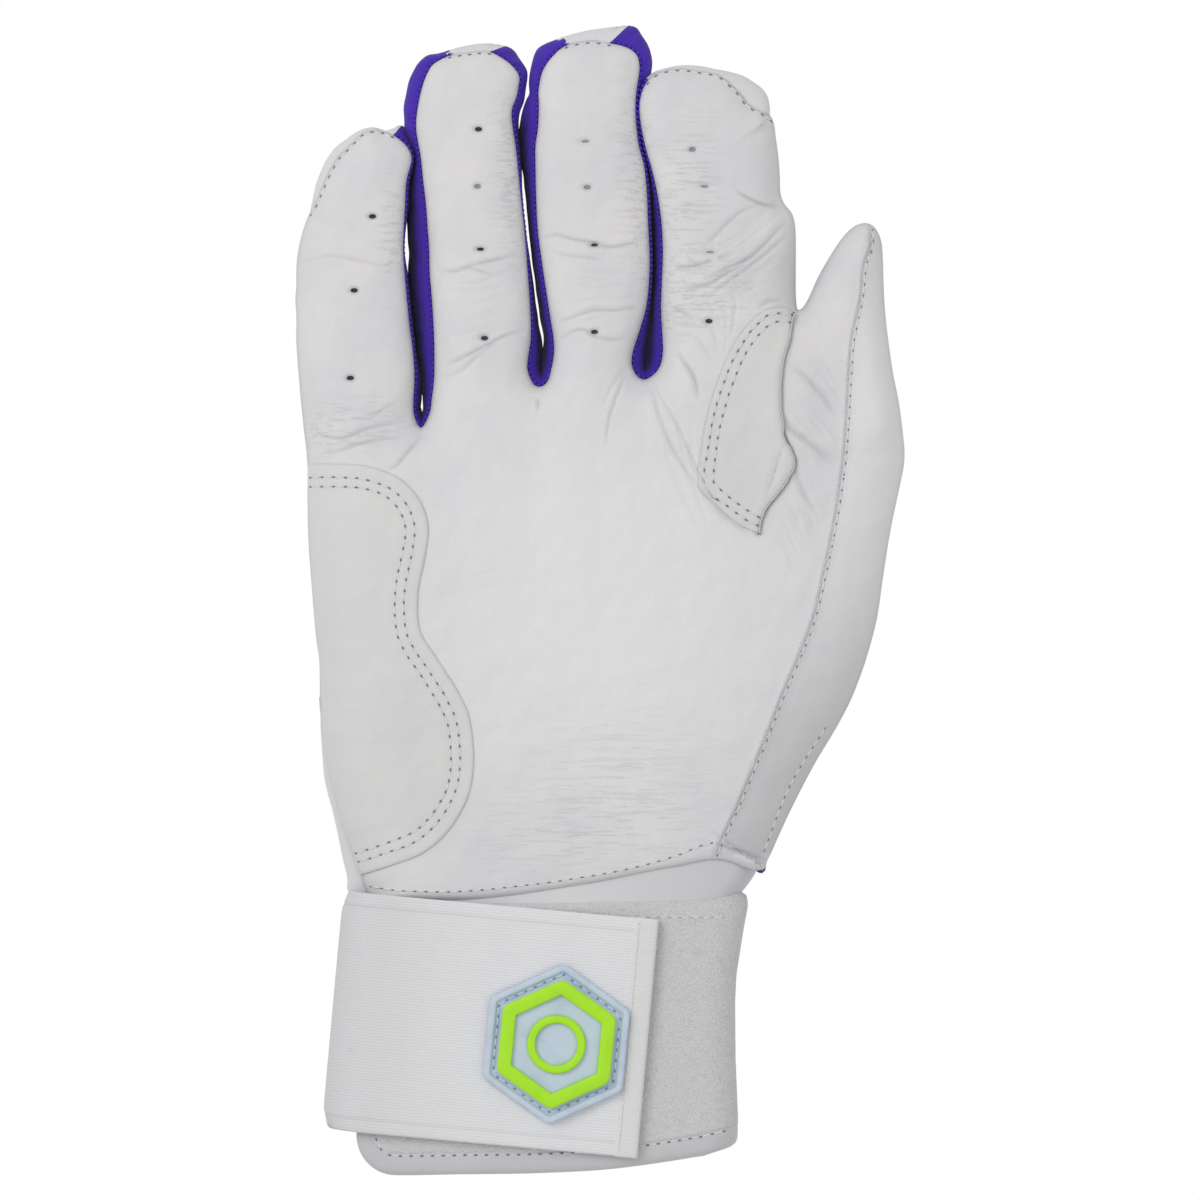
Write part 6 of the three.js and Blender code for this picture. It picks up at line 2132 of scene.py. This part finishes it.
@dataclass
class Strap:
    """The elastic closing strap, which folds round the cuff's left side and closes on the loop panel.

    corner is the upper end of its fold seen from above, and tilt how far it slants. reach and root are its
    lengths on the palm side and under the cuff, seam the distance of its woven seams from its edges, and
    radius and centre those of the fold.
    """

    corner: tuple[float, float] = (-54.8, -61.9)
    tilt: float = 5.2
    width: float = 50.8
    reach: float = 67.5
    root: float = 38.0
    radius: float = 9.4
    centre: float = 9.7
    thickness: float = 1.5
    seam: float = 2.85

    def at(self, s: Array, t: Array, lift: Array | float = 0.0) -> tuple[Array, Array]:
        """Places on the strap.

        Args:
            s: along it, 0 at the middle of the fold, below 0 towards where it is sewn down under the cuff.
            t: across it from its upper edge.
            lift: distance off its outer side.
        Returns:
            The points in space and the normals.
        """
        quarter = self.radius * math.pi / 2
        angle = np.clip(s / self.radius, -math.pi / 2, math.pi / 2)
        across = self.radius * (1 - np.cos(angle)) + np.maximum(np.abs(s) - quarter, 0.0)
        up = np.sin(angle)
        a = math.radians(self.tilt)
        ahead, down = np.array([math.cos(a), -math.sin(a)]), np.array([-math.sin(a), -math.cos(a)])
        tuck = bell(np.maximum(t, 0), 2.6) + 1.1 * bell(np.maximum(self.width - t, 0), 2.6)
        across = across + tuck * np.cos(angle)
        flat = np.array(self.corner) + across[..., None] * ahead + np.asarray(t)[..., None] * down
        z = self.centre + self.radius * up
        normal = np.concatenate([-np.cos(angle)[..., None] * ahead, up[..., None]], -1)
        points = np.concatenate([flat, z[..., None]], -1)
        return points + normal * np.broadcast_to(lift, s.shape)[..., None], normal

    def length(self) -> float:
        """From the middle of the fold to the strap's end."""
        return self.reach - self.radius + self.radius * math.pi / 2

    def build(self) -> None:
        """Makes the band, the folded end and the hook pad."""
        end = self.length()
        s = np.arange(-(self.root + 5.0), end, 0.55)
        edge = np.array([0, 0.12, 0.3, 0.55, 0.9, 1.5, 2.2, 2.6, self.seam, 3.1, 3.5])
        t = np.concatenate([edge, np.arange(4.1, self.width - 4.0, 0.6), self.width - edge[::-1]])
        ss, tt = np.meshgrid(s, t, indexing="ij")
        near = np.minimum(tt, self.width - tt)
        rib = 0.02 * np.cos(2 * math.pi * tt / 1.2)
        lift = -0.4 * bell(near, 0.3) - 0.16 * bell(near - self.seam, 0.28) + rib
        lift = lift + 0.12 * ripple(np.stack([ss.ravel(), tt.ravel() * 0.4], 1), 51, 16.0).reshape(ss.shape)
        points, _ = self.at(ss, tt, lift)
        # Painted shade along the woven seams and towards the fold, with a dark spot at the fold's lower
        # corner and a small dark speck on the band.
        corner = 0.9 * np.exp(-((self.width - tt) / 1.3) ** 2 - ((ss - 3.0) / 3.0) ** 2)
        speck = 0.9 * np.exp(-((tt - 33.6) / 0.3) ** 2 - ((ss - 9.9) / 0.3) ** 2)
        shade = 0.35 * bell(near - self.seam, 0.3) + corner + speck + 0.7 * bell(ss, 22.0)
        shape = Shape()
        shape.sheet(points.reshape(-1, 3), grid_faces(len(s), len(t)), self.thickness, shade=shade.ravel(),
                    lay=flat_lay(ss, tt))
        piece = shape.build("strap_elastic", finish_of("elastic"))
        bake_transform(piece)
        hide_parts("strap_root", "strap_band")
        self.build_end(end)
        self.build_hooks(end)

    def build_end(self, end: float) -> None:
        """Makes the folded end with its stitches.

        Args:
            end: the strap's length from the fold.
        """
        past_end = [-4.9, -4.75, -4.5, -4.1, -3.4, -2.5, -1.6, -0.8, -0.3, 0.0, 0.12, 0.12, 0.0, -0.3, -0.9,
                    -2.5, -4.6]
        lift = [-0.1, 0.12, 0.22, 0.28, 0.32, 0.34, 0.34, 0.32, 0.2, -0.1, -0.6, -1.4, -1.9, -2.15, -2.25,
                -2.25, -2.2]
        s, lift = np.array(past_end) + end, np.array(lift)[:, None]
        edge = np.array([-0.1, 0.0, 0.2, 0.5])
        t = np.concatenate([edge, np.arange(1.0, self.width - 0.9, 0.7), self.width - edge[::-1]])
        ss, tt = np.meshgrid(s, t, indexing="ij")
        near = np.minimum(tt, self.width - tt)
        sink = 0.3 * bell(np.maximum(near, 0), 0.25)
        points, _ = self.at(ss, tt, lift - sink * np.sign(lift + 0.7))
        shape = Shape()
        shape.sheet(points.reshape(-1, 3), grid_faces(len(s), len(t)), 0.35, lay=flat_lay(ss, tt))
        row = np.array([(end - 3.9, t) for t in (1.0, self.width / 2, self.width - 1.0)])
        stitching = Stitching(1.9, 0.16, 0.14)
        stitching.sew(shape, row, lambda xy, up: self.at(xy[:, 0], xy[:, 1], up + 0.28), 1, 0)
        piece = shape.build("strap_folded_end", finish_of("end_tape", "thread"))
        show(piece, "end_tape", "strap_end_tab", body="strap")

    def build_hooks(self, end: float) -> None:
        """Makes the hook pad under the strap.

        Args:
            end: the strap's length from the fold.
        """
        s, t = np.arange(end - 42.0, end - 5.2, 1.2), np.arange(3.0, self.width - 2.9, 1.2)
        ss, tt = np.meshgrid(s, t, indexing="ij")
        points, _ = self.at(ss, tt, -self.thickness - 0.9)
        shape = Shape()
        faces = grid_faces(len(s), len(t), flip=True)
        shape.sheet(points.reshape(-1, 3), faces, 0.8, lay=flat_lay(ss, tt))
        piece = shape.build("strap_hooks", finish_of("hook_tape"))
        show(piece, "hook_tape", "strap_hook_pad", body="strap")


@dataclass
class Badge:
    """A plain rubber badge: a six-sided plate with a coloured frame and a ring."""

    centre: tuple[float, float] = (-9.25, -94.28)
    turn: float = 84.4
    radius: float = 17.2
    corner: float = 2.2
    base: float = 19.3
    face: float = 21.3
    frame_radius: float = 13.9
    frame_width: float = 2.9
    ring_radius: float = 6.2
    ring_width: float = 1.7
    top: float = 22.3

    def hexagon(self, inset: float, radius: float) -> Array:
        """A rounded six-sided loop.

        Args:
            inset: how far it is drawn in.
            radius: of the full loop, to its sharp corners.
        Returns:
            The loop.
        """
        twelfth = math.pi / 6
        bend = max(0.25, self.corner - inset)
        out = radius - inset / math.cos(twelfth) - bend / math.cos(twelfth)

        def rounded(a: float, b: Array) -> Array:
            """Points of the corner in direction a, seen from the corner's middle in directions b."""
            return np.stack([out * math.cos(a) + bend * np.cos(b), out * math.sin(a) + bend * np.sin(b)], 1)

        loop = []
        for k in range(6):
            a = math.radians(self.turn + 60 * k)
            turn = rounded(a, a + np.linspace(-1, 1, 9) * twelfth)
            after = rounded(a + 2 * twelfth, np.array([a + twelfth]))
            loop += [turn, turn[-1] + (after - turn[-1]) * np.linspace(0, 1, 26)[1:-1, None]]
        return np.vstack(loop) + self.centre

    def circle(self, inset: float, radius: float) -> Array:
        """A circle, drawn in from its full size."""
        a = np.linspace(0, 2 * math.pi, 72, endpoint=False)
        return np.stack([np.cos(a), np.sin(a)], 1) * (radius - inset) + self.centre

    def turned(self, shape: Shape, loops: Callable[[float, float], Array], radius: float,
               profile: Line, filled: bool) -> None:
        """Adds a body whose profile runs round a loop.

        Args:
            shape: the piece.
            loops: gives the loop drawn in by a distance.
            radius: of the full loop.
            profile: distance in from the loop, height and painted shade, row by row.
            filled: whether the last row closes to the centre, or the profile returns to its start.
        """
        rows = [loops(inset, radius) for inset, _, _ in profile]
        count = len(rows[0])
        heights, darks = (np.repeat([row[k] for row in profile], count) for k in (1, 2))
        points = np.column_stack([np.vstack(rows), heights])
        faces = grid_faces(len(profile), count, closed=True)
        k, total = np.arange(count), len(points)
        after, last = (k + 1) % count, total - count
        if filled:
            middles = np.array([[*self.centre, profile[-1][1]], [*self.centre, profile[0][1]]])
            ends = [(last + k, last + after, np.full(count, total)), (after, k, np.full(count, total + 1))]
            points, darks = np.vstack([points, middles]), np.append(darks, [0, 0])
        else:
            ends = [(last + k, last + after, after), (last + k, after, k)]
        faces = np.vstack([faces, *(np.stack(end, 1) for end in ends)])
        shape.add(points, faces, shade=darks)

    def build(self) -> None:
        """Makes the plate, the frame and the ring."""
        b, f = self.base, self.face
        plate = Shape()
        # The third column is painted shade: darker at the plate's foot and in the sewn groove.
        profile = (
            (0.25, b, 0.5), (0.0, b + 0.3, 0.0), (0.0, f - 0.45, 0.0), (0.12, f - 0.12, 0.0), (0.4, f, 0.0),
            (1.1, f, 0.0), (1.35, f - 0.1, 0.1), (1.5, f - 0.42, 0.5), (1.7, f - 0.5, 0.5),
            (2.3, f - 0.5, 0.5), (2.5, f - 0.42, 0.5), (2.65, f - 0.2, 0.2), (2.9, f - 0.12, 0.0),
            (5.0, f - 0.12, 0.0), (8.0, f - 0.12, 0.0), (12.0, f - 0.12, 0.0))
        self.turned(plate, self.hexagon, self.radius, profile, True)
        row = self.hexagon(2.0, self.radius)
        row = smooth_line(np.vstack([row, row[:1]]), 2.2)[0][:-1]
        Stitching(2.2, 0.2, 0.26).sew(plate, row, self.groove, 1, 2)
        piece = plate.build("badge_plate_rubber", finish_of("badge_grey", "badge_grey", "badge_hole"))
        show(piece, "badge_grey", "badge_plate", body="strap")
        for name, loops, radius, width in (
                ("frame", self.hexagon, self.frame_radius, self.frame_width),
                ("ring", self.circle, self.ring_radius, self.ring_width)):
            shape = Shape()
            self.turned(shape, loops, radius, self.raised(width), False)
            piece = shape.build(f"badge_{name}_rubber", finish_of("badge_lime"))
            show(piece, "badge_lime", f"badge_{name}", body="strap")

    def raised(self, width: float) -> Line:
        """The profile of a raised band.

        Args:
            width: of the band.
        Returns:
            Distance in from the loop, height and painted shade, row by row.
        """
        foot, top = self.face - 0.2, self.top
        return ((0.0, foot, 0.6), (0.0, top - 0.3, 0.0), (0.1, top - 0.09, 0.0), (0.3, top, 0.0),
                (width - 0.3, top, 0.0), (width - 0.1, top - 0.09, 0.0), (width, top - 0.3, 0.0),
                (width, foot, 0.6))

    def groove(self, xy: Array, lift: float) -> tuple[Array, Array]:
        """Points on the floor of the groove that is sewn along, and the normals there."""
        points = np.column_stack([xy, np.full(len(xy), self.face - 0.47 + lift)])
        return points, np.tile([0.0, 0.0, 1.0], (len(xy), 1))


# The studio

@dataclass
class Studio:
    """A white floor, soft light and the camera overhead."""

    view_width: float = 256.08
    lens: float = 250.0
    sensor: float = 36.0
    focus_height: float = 12.0
    sky: float = 0.66

    def build(self) -> None:
        """Makes the floor, the world, the lamps and the camera."""
        self.build_floor()
        self.build_world()
        self.build_lamp("key", (-0.6, 0.4, 1.0), 0.7, 5.1)
        self.build_lamp("fill", (0.5, -0.2, 1.2), 0.9, 2.0)
        camera = bpy.data.objects.new("camera", bpy.data.cameras.new("camera"))
        bpy.context.scene.collection.objects.link(camera)
        camera.data.lens, camera.data.sensor_width = self.lens, self.sensor
        camera.data.clip_start, camera.data.clip_end = 0.05, 20.0
        distance = self.view_width * MM * self.lens / self.sensor
        camera.location = (0, 0, distance + self.focus_height * MM)
        bpy.context.scene.camera = camera
        bpy.context.scene.view_settings.view_transform = "Standard"

    def build_floor(self) -> None:
        """Makes the floor, which the camera sees as white with a faint shadow."""
        mesh = bpy.data.meshes.new("floor")
        size = 3.0
        corners = [(-size, -size, 0), (size, -size, 0), (size, size, 0), (-size, size, 0)]
        mesh.from_pydata(corners, [], [(0, 1, 2, 3)])
        floor = bpy.data.objects.new("floor", mesh)
        bpy.context.scene.collection.objects.link(floor)
        p = Paint(bpy.data.materials.new("white_floor"))
        plain = p.node("ShaderNodeBsdfDiffuse", Color=(0.9, 0.9, 0.9, 1.0))
        bright = p.node("ShaderNodeEmission", Color=(1.0, 1.0, 1.0, 1.0), Strength=1.0)
        seen = p.node("ShaderNodeLightPath", None, "Is Camera Ray")
        mirrored = seen.other("Is Glossy Ray") + seen.other("Is Transmission Ray")
        white = p.node("ShaderNodeMixShader", **{"0": seen + mirrored, "1": plain, "2": bright})
        under = p.node("ShaderNodeNewGeometry", None, "Backfacing")
        clear = p.node("ShaderNodeBsdfTransparent")
        both = p.node("ShaderNodeMixShader", **{"0": under, "1": white, "2": clear})
        p.node("ShaderNodeOutputMaterial", Surface=both)
        mesh.materials.append(p.owner)
        floor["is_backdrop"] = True

    def build_world(self) -> None:
        """Makes the even sky."""
        world = bpy.data.worlds.new("studio")
        bpy.context.scene.world = world
        p = Paint(world)
        seen = p.node("ShaderNodeLightPath", None, "Is Camera Ray")
        through = seen.other("Is Transmission Ray")
        either = p.node("ShaderNodeMath", {"operation": "MAXIMUM"}, **{"0": seen, "1": through})
        level = p.node("ShaderNodeMapRange", Value=either, **{"To Min": self.sky, "To Max": 1.0})
        back = p.node("ShaderNodeBackground", Strength=level)
        p.node("ShaderNodeOutputWorld", Surface=back)

    def build_lamp(self, name: str, place: tuple[float, float, float], size: float, power: float) -> None:
        """Makes a square lamp that looks at the glove.

        Args:
            name: the lamp's name.
            place: where it stands, in metres.
            size: the length of its sides.
            power: its strength in watts.
        """
        lamp = bpy.data.lights.new(name, "AREA")
        lamp.shape, lamp.size, lamp.energy = "SQUARE", size, power
        made = bpy.data.objects.new(name, lamp)
        made.location = place
        made.rotation_euler = (-Vector(place)).to_track_quat("-Z", "Y").to_euler()
        bpy.context.scene.collection.objects.link(made)


def corners() -> list[list[float]]:
    """The shown object's lowest and highest corner, as plain numbers."""
    return [[float(x) for x in corner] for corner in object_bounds()]


def main() -> None:
    """Builds the studio and the glove."""
    logging.basicConfig(level=logging.INFO, format="%(name)s: %(message)s")
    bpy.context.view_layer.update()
    Studio().build()
    for part in (Hand(), Cuff(), Strap(), Badge()):
        part.build()
        log.info("%s is built", type(part).__name__)


if __name__ == "__main__":
    main()
